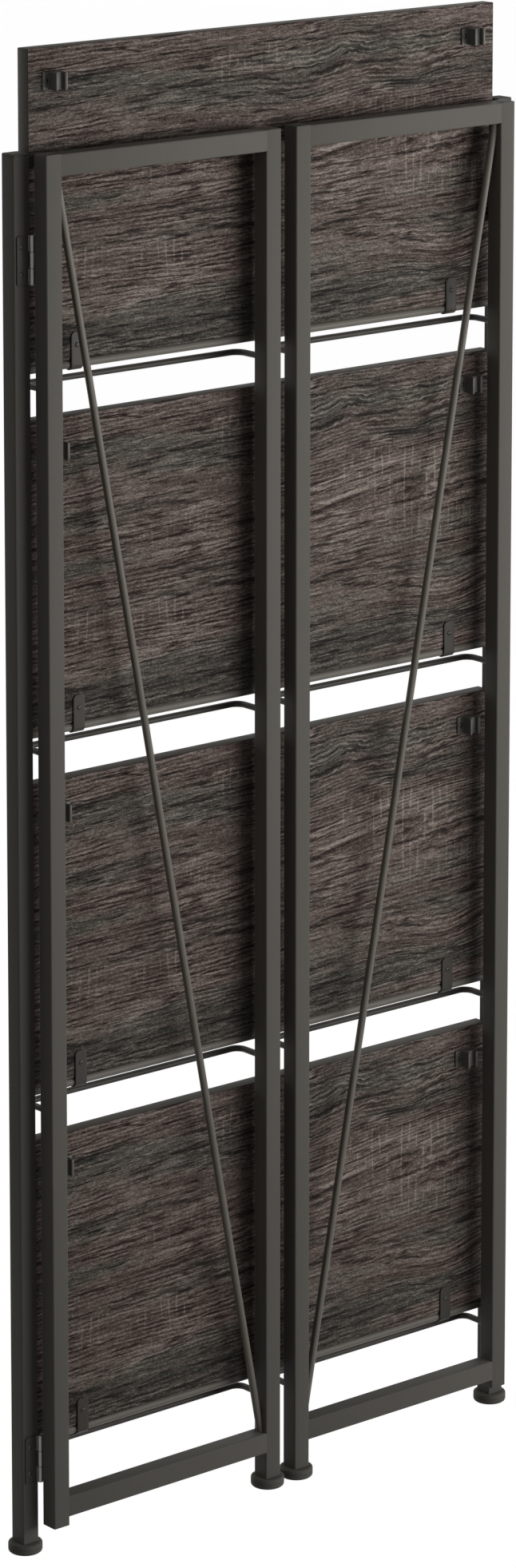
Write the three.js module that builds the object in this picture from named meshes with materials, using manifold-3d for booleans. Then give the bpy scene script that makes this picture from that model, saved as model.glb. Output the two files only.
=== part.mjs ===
// Folding bookcase, shown folded flat: a back frame with four hinge rods, two side frames that
// swing forward on butt hinges, and four shelf boards that stand upright on their rods.
// Lengths are in millimetres, +Z is up, the front of the bookcase looks along -Y. The origin lies
// on the floor, midway between the posts, in the plane of the posts' front faces.
import * as THREE from "three";
import { mergeVertices } from "three/addons/utils/BufferGeometryUtils.js";
import Module from "manifold-3d";

const wasm = await Module();
wasm.setup();

// The whole bookcase
const frameWidth = 600; // over the outer faces of the two back posts
const foldGap = 6; // between the posts' fronts and the folded side frames' backs
const stileGap = 18; // between the two free stiles when folded
const fit = 0.3; // clearance between pieces that touch or are welded
const overrun = 5; // how far a cutting solid runs past what it cuts

// Square tube of the posts, stiles and rails
const tube = 18;
const tubeWall = 1.2;
const tubeCorner = 2; // outer corner radius
const railHeight = 20;
const hingeStileBottom = 28; // the hinge stiles end clear of the floor, with no foot
const lowerRailBottom = 36;

// Feet and post caps
const footRadius = 16;
const footHeight = 10;
const footEdge = 1.2; // chamfer of the disc's rims
const footStem = 14; // length of the stem inside the tube
const capThickness = 2;
const capPlug = 10;

// Hinge rods and shelves
const shelfCount = 4;
const lowestRodHeight = 104; // floor to the lowest hinge rod's axis
const shelfRoom = 50; // with a board's depth, from one hinge rod to the next
const frameRise = 198; // from the highest hinge rod's axis to the tops of the frames
const hingeRodDiameter = 8;
const boardDepth = 286; // from the hinged edge to the free edge
const boardThickness = 15;
const boardEndGap = 2.5; // between a board's end and the post

// Hinge straps of the shelves
const strapWidth = 13;
const strapThickness = 1.2;
const strapHeight = 30; // from the rod's axis to the strap's top
const strapInset = 73.5; // from the post's outer face to the strap's middle
const strapCorner = 4.5; // radius of the strap's top corners
const strapScrewHeight = 18;
const notchSide = 1; // room beside the curled strap in the board's notch

// Snap clips of the shelves
const clipWidth = 13;
const clipLength = 16;
const clipProud = 13; // how far the clip stands off the board
const clipMouth = 7;
const clipChannel = 4.6; // depth of the channel
const clipLip = 0.8; // chamfer at the channel's mouth
const clipFlange = 6.5;
const clipFlangeThickness = 1.6;
const clipInset = 30; // from the board's free edge to the clip's middle

// Support rods and diagonal rods of the side frames
const supportDiameter = 6;
const supportReach = 34; // from the stiles' backs to the rod's axis
const supportDrop = 16; // from the hinge rod's axis down to the support rod's axis
const supportBend = 10; // radius of the bends, at the rod's axis
const diagonalDiameter = 7;

// Butt hinges between the posts and the side frames
const leafHeight = 45;
const leafWidth = 15.5; // from the pin's axis to the leaf's edge
const leafThickness = 1.2;
const knuckleClearance = 0.4; // between the knuckles and the tubes beside them
const pinRadius = 1.2;
const pinClearance = 0.3;
const upperHingeRise = 102; // from the highest hinge rod's axis up to the upper hinge's middle
const lowerHingeDrop = 13; // from the lowest hinge rod's axis down to the lower hinge's middle
const leafScrewSpacing = 25;
const leafScrewInset = 4.5; // from the leaf's edge
const knuckleShare = 1 / 3; // of the hinge's height, for the middle knuckle
const reliefGap = 0.6; // round a support rod's leg where it passes a leaf
const screwHoleRadius = 1.8;

// Worked out from the sizes above
const half = 0.5;
const shelfPitch = boardDepth + shelfRoom;
const frameTop = lowestRodHeight + (shelfCount - 1) * shelfPitch + frameRise;
const pinX = frameWidth * half - tube;
const pinY = -foldGap * half;
const sideDepth = pinX - stileGap * half; // width of a side frame
const rodY = tube * half;
const rodRadius = hingeRodDiameter * half;
const strapInner = rodRadius + fit;
const strapOuter = strapInner + strapThickness;
const boardLength = frameWidth - 2 * (tube + boardEndGap);
const boardBottom = rodRadius + fit; // above the rod's axis
const knuckleRadius = foldGap * half - knuckleClearance;
const clipX = pinX - (supportReach - foldGap * half); // over the support rod of an open side frame

// Roundness
const rodSides = 20;
const supportSides = 6; // half the sides of a support rod
const bendSteps = 6;
const cornerSegments = 2;
const holeSides = 16;
const footSides = 40;
const wrapSegments = 10;
const quarterTurn = Math.PI / 2;
const curlShare = 5 / 12; // of half a turn, from the rod's back up to the end of a strap's curl
const curlEnd = curlShare * Math.PI;

const finishes = {
  frame: { color: 0x5c5953, roughness: 0.55, metalness: 0.35 },
  rod: { color: 0x57544e, roughness: 0.5, metalness: 0.35 },
  laminate: { color: 0x4b4541, roughness: 0.65, metalness: 0 },
  plastic: { color: 0x2e2d2b, roughness: 0.6, metalness: 0 },
  hinge: { color: 0x4a4741, roughness: 0.45, metalness: 0.5 },
};

const sides = [
  { name: "left", sign: -1 },
  { name: "right", sign: 1 },
];

function part(name, geometry, finish) {
  const mesh = new THREE.Mesh(geometry, new THREE.MeshStandardMaterial(finishes[finish]));
  mesh.name = name;
  return mesh;
}

function placed(mesh, x, y, z) {
  mesh.position.set(x, y, z);
  return mesh;
}

// A closed three.js geometry as a solid for joining and cutting
function solid(geometry) {
  const bare = geometry.clone();
  bare.deleteAttribute("normal");
  bare.deleteAttribute("uv");
  const merged = mergeVertices(bare);
  return new wasm.Manifold(
    new wasm.Mesh({
      numProp: 3,
      vertProperties: new Float32Array(merged.attributes.position.array),
      triVerts: new Uint32Array(merged.index.array),
    }),
  );
}

function geometryOf(body) {
  const mesh = body.getMesh();
  const geometry = new THREE.BufferGeometry();
  geometry.setAttribute("position", new THREE.BufferAttribute(mesh.vertProperties, 3));
  geometry.setIndex(new THREE.BufferAttribute(mesh.triVerts, 1));
  const flat = geometry.toNonIndexed();
  flat.computeVertexNormals();
  return flat;
}

function box([x0, x1], [y0, y1], [z0, z1]) {
  const geometry = new THREE.BoxGeometry(Math.abs(x1 - x0), Math.abs(y1 - y0), Math.abs(z1 - z0));
  return geometry.translate((x0 + x1) * half, (y0 + y1) * half, (z0 + z1) * half);
}

// A round bar along Z, from z0 to z1
function bar(radius, z0, z1, segments = rodSides) {
  const geometry = new THREE.CylinderGeometry(radius, radius, z1 - z0, segments);
  return geometry.rotateX(quarterTurn).translate(0, 0, (z0 + z1) * half);
}

// A rounded rectangle about the origin
function roundedRectangle(width, depth, radius, ShapeKind = THREE.Shape) {
  const x = width * half;
  const y = depth * half;
  const shape = new ShapeKind();
  shape.moveTo(x, -y + radius);
  shape.lineTo(x, y - radius);
  shape.absarc(x - radius, y - radius, radius, 0, quarterTurn, false);
  shape.lineTo(-x + radius, y);
  shape.absarc(-x + radius, y - radius, radius, quarterTurn, 2 * quarterTurn, false);
  shape.lineTo(-x, -y + radius);
  shape.absarc(-x + radius, -y + radius, radius, 2 * quarterTurn, 3 * quarterTurn, false);
  shape.lineTo(x - radius, -y);
  shape.absarc(x - radius, -y + radius, radius, 3 * quarterTurn, 4 * quarterTurn, false);
  return shape;
}

function extruded(shape, depth, curveSegments = cornerSegments) {
  return new THREE.ExtrudeGeometry(shape, { depth, bevelEnabled: false, curveSegments });
}

// An open tube along Z, from z = 0 up
function openTube(width, depth, length) {
  const shape = roundedRectangle(width, depth, tubeCorner);
  const boreWidth = width - 2 * tubeWall;
  const boreDepth = depth - 2 * tubeWall;
  shape.holes.push(roundedRectangle(boreWidth, boreDepth, tubeCorner - tubeWall, THREE.Path));
  return extruded(shape, length);
}

// A tube along Z whose top is closed by a welded plate as thick as the wall
function closedTube(length) {
  const outer = solid(extruded(roundedRectangle(tube, tube, tubeCorner), length));
  const bore = tube - 2 * tubeWall;
  const inside = extruded(roundedRectangle(bore, bore, tubeCorner - tubeWall), length - tubeWall + overrun);
  return geometryOf(outer.subtract(solid(inside.translate(0, 0, -overrun))));
}

// A disc foot with a round stem, standing on z = 0
function foot() {
  const stem = tube * half - tubeWall - fit;
  const profile = [
    [0, 0],
    [footRadius - footEdge, 0],
    [footRadius, footEdge],
    [footRadius, footHeight - footEdge],
    [footRadius - footEdge, footHeight],
    [stem, footHeight],
    [stem, footHeight + footStem - footEdge],
    [stem - footEdge, footHeight + footStem],
    [0, footHeight + footStem],
  ];
  const points = profile.map(([radius, height]) => new THREE.Vector2(radius, height));
  return new THREE.LatheGeometry(points, footSides).rotateX(quarterTurn);
}

// A plate over the post's end with a plug below it; z = 0 is the plate's underside
function postCap() {
  const plate = solid(extruded(roundedRectangle(tube, tube, tubeCorner), capThickness));
  const plug = solid(bar(tube * half - tubeWall - fit, -capPlug, capThickness * half));
  return geometryOf(plate.add(plug));
}

// A post's or a frame's leaf of a butt hinge, about the pin's axis. reach is the direction along X
// in which the leaf runs, face the side of the pin along Y on which its plate lies. legHeight is
// where a support rod's leg passes the leaf, which is slotted there.
function hingeLeaf(reach, face, holdsPin, legHeight) {
  const top = leafHeight * half;
  const knuckleTop = top * knuckleShare;
  const gap = pinClearance * half;
  const plateFar = face * (foldGap * half - fit);
  const plateNear = plateFar - face * leafThickness;
  const edge = reach * leafWidth;
  const clear = reach * (knuckleRadius + pinClearance);
  const bands = holdsPin
    ? [
        [-top, -knuckleTop - gap],
        [knuckleTop + gap, top],
      ]
    : [[-knuckleTop + gap, knuckleTop - gap]];
  let leaf = solid(box([clear, edge], [plateNear, plateFar], [-top, top]));
  for (const [z0, z1] of bands) {
    leaf = leaf.add(solid(box([0, edge], [plateNear, plateFar], [z0, z1])));
    leaf = leaf.add(solid(bar(knuckleRadius, z0, z1)));
  }
  if (holdsPin) {
    leaf = leaf.add(solid(bar(pinRadius, -top, top)));
  } else {
    leaf = leaf.subtract(solid(bar(pinRadius + pinClearance, -top - overrun, top + overrun)));
  }
  for (const level of [-half, half]) {
    const hole = bar(screwHoleRadius, -overrun, overrun, holeSides).rotateX(quarterTurn);
    const x = edge - reach * leafScrewInset;
    leaf = leaf.subtract(solid(hole.translate(x, plateNear, level * leafScrewSpacing)));
  }
  if (Math.abs(legHeight) < top) {
    const room = supportDiameter * half + reliefGap;
    const round = bar(room, -overrun, overrun).rotateX(quarterTurn);
    leaf = leaf.subtract(solid(round.translate(reach * tube * half, plateNear, legHeight)));
    const slot = [reach * tube * half, edge + reach * overrun];
    const through = [plateNear - overrun, plateNear + overrun];
    leaf = leaf.subtract(solid(box(slot, through, [legHeight - room, legHeight + room])));
  }
  return geometryOf(leaf);
}

// A path of straight stretches and round bends, read at its own stations instead of even steps
class BentPath extends THREE.Curve {
  constructor(corners, bendRadius) {
    super();
    this.stations = [{ point: corners[0], tangent: corners[1].clone().sub(corners[0]).normalize() }];
    for (let i = 1; i < corners.length - 1; i += 1) {
      const into = corners[i].clone().sub(corners[i - 1]).normalize();
      const out = corners[i + 1].clone().sub(corners[i]).normalize();
      const centre = corners[i].clone().addScaledVector(out, bendRadius).addScaledVector(into, -bendRadius);
      for (let step = 0; step <= bendSteps; step += 1) {
        const angle = (step / bendSteps) * quarterTurn;
        const point = centre
          .clone()
          .addScaledVector(out, -bendRadius * Math.cos(angle))
          .addScaledVector(into, bendRadius * Math.sin(angle));
        const tangent = into.clone().multiplyScalar(Math.cos(angle)).addScaledVector(out, Math.sin(angle));
        this.stations.push({ point, tangent });
      }
    }
    const [before, last] = corners.slice(-2);
    this.stations.push({ point: last, tangent: last.clone().sub(before).normalize() });
  }

  station(share) {
    return this.stations[Math.round(share * (this.stations.length - 1))];
  }

  getPointAt(share) {
    return this.station(share).point.clone();
  }

  getTangentAt(share) {
    return this.station(share).tangent.clone();
  }
}

// A support rod about the hinge pins' axis: two legs from the stiles' backs and the straight
// stretch that a shelf rests on
function supportRod(inward) {
  const nearLeg = inward * tube * half;
  const farLeg = inward * (sideDepth - tube * half);
  const back = -foldGap * half + fit;
  const reach = -foldGap * half + supportReach;
  const corners = [
    new THREE.Vector3(nearLeg, back, 0),
    new THREE.Vector3(nearLeg, reach, 0),
    new THREE.Vector3(farLeg, reach, 0),
    new THREE.Vector3(farLeg, back, 0),
  ];
  const path = new BentPath(corners, supportBend);
  const section = new THREE.Shape();
  section.absarc(0, 0, supportDiameter * half, 0, 4 * quarterTurn, false);
  return new THREE.ExtrudeGeometry(section, {
    steps: path.stations.length - 1,
    curveSegments: supportSides,
    extrudePath: path,
  });
}

// The diagonal rod, cut to the corners of the window between stiles and rails
function diagonalRod(inward) {
  const top = new THREE.Vector3(inward * tube, 0, frameTop - railHeight);
  const bottom = new THREE.Vector3(inward * (sideDepth - tube), 0, lowerRailBottom + railHeight);
  const along = top.clone().sub(bottom);
  const rod = bar(diagonalDiameter * half, -overrun - along.length() * half, overrun + along.length() * half);
  rod.applyQuaternion(new THREE.Quaternion().setFromUnitVectors(new THREE.Vector3(0, 0, 1), along.normalize()));
  const middle = top.clone().add(bottom).multiplyScalar(half);
  rod.translate(middle.x, middle.y, middle.z);
  const near = inward * (tube + fit);
  const far = inward * (sideDepth - tube - fit);
  const window = box([near, far], [-tube, tube], [bottom.z + fit, top.z - fit]);
  return geometryOf(solid(rod).intersect(solid(window)));
}

// A strip that lies on the board and curls round the hinge rod, about the rod's axis
function hingeStrap() {
  const side = new THREE.Shape();
  side.moveTo(-strapInner, strapHeight);
  side.lineTo(-strapOuter, strapHeight);
  side.lineTo(-strapOuter, 0);
  side.absarc(0, 0, strapOuter, 2 * quarterTurn, 4 * quarterTurn + curlEnd, false);
  side.lineTo(strapInner * Math.cos(curlEnd), strapInner * Math.sin(curlEnd));
  side.absarc(0, 0, strapInner, curlEnd, -2 * quarterTurn, true);
  side.lineTo(-strapInner, strapHeight);
  const turned = new THREE.Matrix4().makeBasis(
    new THREE.Vector3(0, 1, 0),
    new THREE.Vector3(0, 0, 1),
    new THREE.Vector3(1, 0, 0),
  );
  const strip = extruded(side, strapWidth, wrapSegments).applyMatrix4(turned).translate(-strapWidth * half, 0, 0);
  const tall = 2 * strapHeight;
  const outline = extruded(roundedRectangle(strapWidth, tall, strapCorner), tall).translate(0, 0, -tall * half);
  const hole = bar(screwHoleRadius, -overrun, overrun, holeSides).rotateX(quarterTurn);
  return geometryOf(
    solid(strip)
      .intersect(solid(outline.rotateX(quarterTurn)))
      .subtract(solid(hole.translate(0, -strapInner, strapScrewHeight))),
  );
}

// A clip whose channel takes a support rod; y = 0 is its face on the board, z = 0 its middle
function snapClip() {
  const wide = clipWidth * half;
  const mouth = clipMouth * half;
  const outer = wide + clipFlange;
  const floor = -clipProud + clipChannel;
  const outline = [
    [-outer, 0],
    [-outer, -clipFlangeThickness],
    [-wide, -clipFlangeThickness],
    [-wide, -clipProud],
    [-mouth - clipLip, -clipProud],
    [-mouth, -clipProud + clipLip],
    [-mouth, floor],
    [mouth, floor],
    [mouth, -clipProud + clipLip],
    [mouth + clipLip, -clipProud],
    [wide, -clipProud],
    [wide, -clipFlangeThickness],
    [outer, -clipFlangeThickness],
    [outer, 0],
  ];
  const shape = new THREE.Shape(outline.map(([x, y]) => new THREE.Vector2(x, y)));
  let clip = solid(extruded(shape, clipLength).translate(0, 0, -clipLength * half));
  for (const sign of [-1, 1]) {
    const hole = bar(screwHoleRadius, -overrun, overrun, holeSides).rotateX(quarterTurn);
    clip = clip.subtract(solid(hole.translate(sign * (outer - clipFlange * half), 0, 0)));
  }
  return geometryOf(clip);
}

// A board standing on its hinged edge, notched over the straps' curls, about the rod's axis
function shelfBoard() {
  const end = boardLength * half;
  const top = boardBottom + boardDepth;
  const strapX = frameWidth * half - strapInset;
  const notch = strapWidth * half + notchSide;
  const notchTop = strapOuter + fit;
  const outline = [
    [-end, boardBottom],
    [-strapX - notch, boardBottom],
    [-strapX - notch, notchTop],
    [-strapX + notch, notchTop],
    [-strapX + notch, boardBottom],
    [strapX - notch, boardBottom],
    [strapX - notch, notchTop],
    [strapX + notch, notchTop],
    [strapX + notch, boardBottom],
    [end, boardBottom],
    [end, top],
    [-end, top],
  ];
  const shape = new THREE.Shape(outline.map(([x, z]) => new THREE.Vector2(x, z)));
  const back = boardThickness - rodRadius;
  return extruded(shape, boardThickness).rotateX(quarterTurn).translate(0, back, 0);
}

function rodHeight(level) {
  return lowestRodHeight + (shelfCount - level) * shelfPitch;
}

const hingeHeights = {
  upper: rodHeight(1) + upperHingeRise,
  lower: rodHeight(shelfCount) - lowerHingeDrop,
};

function backFrame() {
  const group = new THREE.Group();
  const tubeBottom = footHeight + fit;
  const tubeTop = frameTop - capThickness - fit;
  for (const { name, sign } of sides) {
    const x = sign * (frameWidth - tube) * half;
    const post = openTube(tube, tube, tubeTop - tubeBottom);
    group.add(placed(part(`${name}_post`, post, "frame"), x, rodY, tubeBottom));
    group.add(placed(part(`${name}_post_cap`, postCap(), "plastic"), x, rodY, frameTop - capThickness));
    group.add(placed(part(`${name}_rear_foot`, foot(), "plastic"), x, rodY, 0));
    for (const [place, height] of Object.entries(hingeHeights)) {
      const leaf = part(`${name}_${place}_post_leaf`, hingeLeaf(sign, 1, true), "hinge");
      group.add(placed(leaf, sign * pinX, pinY, height));
    }
  }
  for (let level = 1; level <= shelfCount; level += 1) {
    const reach = pinX - fit;
    const rod = part(`hinge_rod_${level}`, bar(rodRadius, -reach, reach).rotateY(quarterTurn), "rod");
    group.add(placed(rod, 0, rodY, rodHeight(level)));
  }
  return group;
}

// A side frame about its hinge pins, folded: it runs inward from the post in front of the shelves
function sideFrame({ name, sign }) {
  const group = new THREE.Group();
  group.position.set(sign * pinX, pinY, 0);
  const inward = -sign;
  const middle = -(foldGap + tube) * half;
  const nearStile = inward * tube * half;
  const freeStile = inward * (sideDepth - tube * half);
  const freeBottom = footHeight + fit;
  const hingeStile = part(`${name}_hinge_stile`, closedTube(frameTop - hingeStileBottom), "frame");
  group.add(placed(hingeStile, nearStile, middle, hingeStileBottom));
  const stile = part(`${name}_free_stile`, closedTube(frameTop - freeBottom), "frame");
  group.add(placed(stile, freeStile, middle, freeBottom));
  group.add(placed(part(`${name}_front_foot`, foot(), "plastic"), freeStile, middle, 0));
  const railLength = sideDepth - 2 * (tube + fit);
  const railStart = inward * sideDepth * half - railLength * half;
  for (const [place, bottom] of [
    ["top", frameTop - railHeight],
    ["bottom", lowerRailBottom],
  ]) {
    const rail = openTube(railHeight, tube, railLength).rotateY(quarterTurn);
    group.add(placed(part(`${name}_${place}_rail`, rail, "frame"), railStart, middle, bottom + railHeight * half));
  }
  group.add(placed(part(`${name}_diagonal_rod`, diagonalRod(inward), "rod"), 0, middle, 0));
  for (let level = 1; level <= shelfCount; level += 1) {
    const rod = part(`${name}_support_rod_${level}`, supportRod(inward), "rod");
    group.add(placed(rod, 0, 0, rodHeight(level) - supportDrop));
  }
  for (const [place, height] of Object.entries(hingeHeights)) {
    const legHeight = rodHeight(place === "upper" ? 1 : shelfCount) - supportDrop - height;
    const leaf = hingeLeaf(inward, -1, false, legHeight);
    group.add(placed(part(`${name}_${place}_frame_leaf`, leaf, "hinge"), 0, 0, height));
  }
  return group;
}

// A shelf about its hinge rod, upright: its underside looks forward
function shelf(level) {
  const group = new THREE.Group();
  group.position.set(0, rodY, rodHeight(level));
  group.add(part(`shelf_board_${level}`, shelfBoard(), "laminate"));
  for (const { name, sign } of sides) {
    const strap = part(`${name}_shelf_strap_${level}`, hingeStrap(), "hinge");
    group.add(placed(strap, sign * (frameWidth * half - strapInset), 0, 0));
    const clip = part(`${name}_shelf_clip_${level}`, snapClip(), "plastic");
    const height = boardBottom + boardDepth - clipInset;
    group.add(placed(clip, sign * clipX, -rodRadius - fit, height));
  }
  return group;
}

const bookcase = new THREE.Group();
bookcase.add(backFrame());
for (const side of sides) bookcase.add(sideFrame(side));
for (let level = 1; level <= shelfCount; level += 1) bookcase.add(shelf(level));

export default bookcase;
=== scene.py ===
"""A folding bookcase, folded flat: its finishes, its detailed pieces, the studio and the camera.

All sizes are in metres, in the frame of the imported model: X to the right, Z up, the front looks
along -Y, and the origin lies on the floor in the plane of the posts' front faces.
"""

import logging
import math
from collections.abc import Callable, Mapping, Sequence
from dataclasses import dataclass, field, replace
from enum import Enum

import bmesh
import bpy
from mathutils import Euler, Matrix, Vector


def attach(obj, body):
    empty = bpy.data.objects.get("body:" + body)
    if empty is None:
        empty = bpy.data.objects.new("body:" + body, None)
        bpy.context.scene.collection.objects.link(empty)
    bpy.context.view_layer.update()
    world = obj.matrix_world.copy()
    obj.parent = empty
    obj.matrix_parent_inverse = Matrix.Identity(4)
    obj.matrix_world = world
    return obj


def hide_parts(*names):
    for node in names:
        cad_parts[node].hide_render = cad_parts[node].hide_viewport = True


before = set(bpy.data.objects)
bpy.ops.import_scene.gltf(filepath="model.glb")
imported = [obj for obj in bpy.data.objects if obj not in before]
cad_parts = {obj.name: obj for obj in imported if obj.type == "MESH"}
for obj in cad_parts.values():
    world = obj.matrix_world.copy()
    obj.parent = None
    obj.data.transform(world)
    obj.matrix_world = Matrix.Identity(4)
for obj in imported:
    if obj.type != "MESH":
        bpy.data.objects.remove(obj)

LOG = logging.getLogger("bookcase")
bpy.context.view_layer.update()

WHITE = (1.0, 1.0, 1.0, 1.0)
SHADE_SPREAD = 0.4  # how far a finish's darker and lighter shades lie from its colour, as a share
MERGE = 1e-6  # vertices nearer than this become one
FLAT = 0.99  # a face that points along an axis by more than this isn't part of a bevel
ASLANT = 0.7  # a face belongs to the axis that it points along by more than this
STUD_ATTRIBUTES = {"facing": "FLOAT_VECTOR", "turn": "FLOAT"}

Colour = tuple[float, float, float, float]
Triple = tuple[float, float, float]
Pair = tuple[float, float]
Outline = Sequence[Pair]
Ring = list[Vector]
Place = Callable[[float, float, float], Vector]

ORIGIN = Vector((0.0, 0.0, 0.0))
X, Y, Z = Vector((1.0, 0.0, 0.0)), Vector((0.0, 1.0, 0.0)), Vector((0.0, 0.0, 1.0))


def screen_colour(red: int, green: int, blue: int) -> Colour:
    """Turns a colour as a screen shows it into the shader's linear one.

    Args:
        red: Red from 0 to 255.
        green: Green from 0 to 255.
        blue: Blue from 0 to 255.

    Returns:
        The linear colour, opaque.
    """

    def linear(level: int) -> float:
        """Gives one channel without the screen's curve."""
        share = level / 255
        return share / 12.92 if share <= 0.04045 else ((share + 0.055) / 1.055) ** 2.4

    return (linear(red), linear(green), linear(blue), 1.0)


def shades(colour: Colour) -> tuple[Colour, Colour]:
    """Gives a finish's darker and lighter shades.

    Args:
        colour: The finish's colour.

    Returns:
        The darker shade, then the lighter one.
    """
    darker, lighter = (
        (share * colour[0], share * colour[1], share * colour[2], 1.0)
        for share in (1 - SHADE_SPREAD, 1 + SHADE_SPREAD)
    )
    return darker, lighter


# Node trees


class Value:
    """A node's socket that takes part in Python sums, each of which adds a Math node."""

    def __init__(self, sheet: "NodeSheet", socket: bpy.types.NodeSocket) -> None:
        """Keeps the socket and the sheet of nodes that it belongs to."""
        self.sheet = sheet
        self.socket = socket

    def __add__(self, other: "Value | float") -> "Value":
        """Adds."""
        return self.sheet.maths("ADD", self, other)

    __radd__ = __add__

    def __mul__(self, other: "Value | float") -> "Value":
        """Multiplies."""
        return self.sheet.maths("MULTIPLY", self, other)

    def __sub__(self, other: "Value | float") -> "Value":
        """Subtracts."""
        return self.sheet.maths("SUBTRACT", self, other)

    def __rsub__(self, other: float) -> "Value":
        """Subtracts from a number."""
        return self.sheet.maths("SUBTRACT", other, self)

    def __truediv__(self, other: "Value | float") -> "Value":
        """Divides."""
        return self.sheet.maths("DIVIDE", self, other)

    def __abs__(self) -> "Value":
        """Drops the sign."""
        return self.sheet.maths("ABSOLUTE", self, 0.0)

    def fading(self) -> "Value":
        """Gives e to the power of minus this."""
        return self.sheet.maths("POWER", math.e, self * -1.0)

    def at_most(self, other: "Value | float") -> "Value":
        """Gives the lesser of two."""
        return self.sheet.maths("MINIMUM", self, other)

    def between(self, low: float, high: float) -> "Value":
        """Rises smoothly from 0 at low to 1 at high."""
        return self.sheet.node(
            "ShaderNodeMapRange",
            {"interpolation_type": "SMOOTHSTEP"},
            {"Value": self, "From Min": low, "From Max": high},
        )


class NodeSheet:
    """A node tree that is written down call by call."""

    def __init__(self, tree: bpy.types.NodeTree) -> None:
        """Clears the tree and keeps it."""
        self.tree = tree
        tree.nodes.clear()

    @staticmethod
    def socket(sockets: bpy.types.bpy_prop_collection, key: int | str) -> bpy.types.NodeSocket:
        """Finds a socket.

        Args:
            sockets: A node's inputs or outputs.
            key: Its number, identifier or name.

        Returns:
            The first socket that matches.
        """
        if isinstance(key, int):
            return sockets[key]
        return next(s for s in sockets if key in (s.identifier, s.name) and s.enabled)

    def node(
        self,
        kind: str,
        settings: Mapping[str, object] | None = None,
        inputs: Mapping[int | str, object] | None = None,
        output: int | str = 0,
    ) -> Value:
        """Adds one node.

        Args:
            kind: The node's type.
            settings: Its settings, which are made first; "stops" are a ramp's.
            inputs: A value or a link for each socket that isn't left alone.
            output: The output that is wanted.

        Returns:
            That output.
        """
        made = self.tree.nodes.new(kind)
        for name, setting in (settings or {}).items():
            if name == "stops":
                self.set_stops(made.color_ramp, setting)
            else:
                setattr(made, name, setting)
        for key, given in (inputs or {}).items():
            into = self.socket(made.inputs, key)
            if isinstance(given, Value):
                self.tree.links.new(given.socket, into)
            else:
                into.default_value = given
        if not made.outputs:
            return Value(self, made.inputs[0])
        return Value(self, self.socket(made.outputs, output))

    @staticmethod
    def set_stops(ramp: bpy.types.ColorRamp, stops: Sequence[tuple[float, Colour]]) -> None:
        """Gives a ramp its stops.

        Args:
            ramp: The ramp.
            stops: Each stop's place and colour, from low to high.
        """
        while len(ramp.elements) < len(stops):
            ramp.elements.new(1.0)
        for element, (place, colour) in zip(ramp.elements, stops):
            element.position = place
            element.color = colour

    def maths(self, operation: str, first: "Value | float", second: "Value | float") -> Value:
        """Adds a Math node."""
        return self.node("ShaderNodeMath", {"operation": operation}, {0: first, 1: second})

    def mix(
        self, share: "Value | float", first: "Value | Colour", second: "Value | Colour"
    ) -> Value:
        """Mixes two colours.

        Args:
            share: How much of the second there is.
            first: The colour at share 0.
            second: The colour at share 1.

        Returns:
            The mixed colour.
        """
        return self.node(
            "ShaderNodeMix",
            {"data_type": "RGBA"},
            {"Factor_Float": share, "A_Color": first, "B_Color": second},
            "Result_Color",
        )

    def noise(
        self, across: Sequence["Value | float"], detail: float = 2.0, roughness: float = 0.5
    ) -> Value:
        """Adds a noise whose places are given axis by axis.

        Args:
            across: The three coordinates, already multiplied by their scales.
            detail: The noise's detail.
            roughness: How strong the finer detail is.

        Returns:
            The noise, mostly between 0.3 and 0.7.
        """
        place = self.node("ShaderNodeCombineXYZ", None, {0: across[0], 1: across[1], 2: across[2]})
        return self.node(
            "ShaderNodeTexNoise",
            None,
            {"Vector": place, "Scale": 1.0, "Detail": detail, "Roughness": roughness},
        )

    def split(self, vector: Value) -> tuple[Value, Value, Value]:
        """Gives a vector's three numbers."""
        parts = self.node("ShaderNodeSeparateXYZ", None, {0: vector})
        x, y, z = (Value(self, socket) for socket in parts.socket.node.outputs)
        return x, y, z

    def back_and_forth(self, value: Value, reach: float) -> Value:
        """Folds a number to and fro between 0 and a reach."""
        return self.node("ShaderNodeMath", {"operation": "PINGPONG"}, {0: value, 1: reach})

    def surface(
        self,
        colour: Value,
        roughness: Value,
        height: Value,
        relief: float,
        strength: float = 0.6,
        specular: float = 0.15,
        metallic: float = 0.0,
    ) -> Value:
        """Adds the shader of an opaque surface with its fine relief.

        Args:
            colour: Its colour.
            roughness: Its roughness.
            height: Height of the relief, in units of relief.
            relief: The relief's depth.
            strength: How plain the relief is.
            specular: The shader's specular level.
            metallic: How metallic it is.

        Returns:
            The shader.
        """
        bump = self.node(
            "ShaderNodeBump", None, {"Strength": strength, "Distance": relief, "Height": height}
        )
        return self.node(
            "ShaderNodeBsdfPrincipled",
            None,
            {
                "Base Color": colour,
                "Roughness": roughness,
                "Metallic": metallic,
                "Specular IOR Level": specular,
                "Normal": bump,
            },
        )


class Finish:
    """A finish that makes its material once, and then hands out the same one."""

    made: dict[str, bpy.types.Material] = {}
    name: str

    def material(self) -> bpy.types.Material:
        """Gives the finish's material, made at the first call."""
        if self.name not in Finish.made:
            material = bpy.data.materials.new(self.name)
            material.use_nodes = True
            sheet = NodeSheet(material.node_tree)
            shader = self.shader(sheet)
            sheet.node("ShaderNodeOutputMaterial", None, {"Surface": shader})
            Finish.made[self.name] = material
        return Finish.made[self.name]

    def shader(self, sheet: NodeSheet) -> Value:
        """Builds the finish's nodes and gives the shader."""
        raise NotImplementedError


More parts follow.
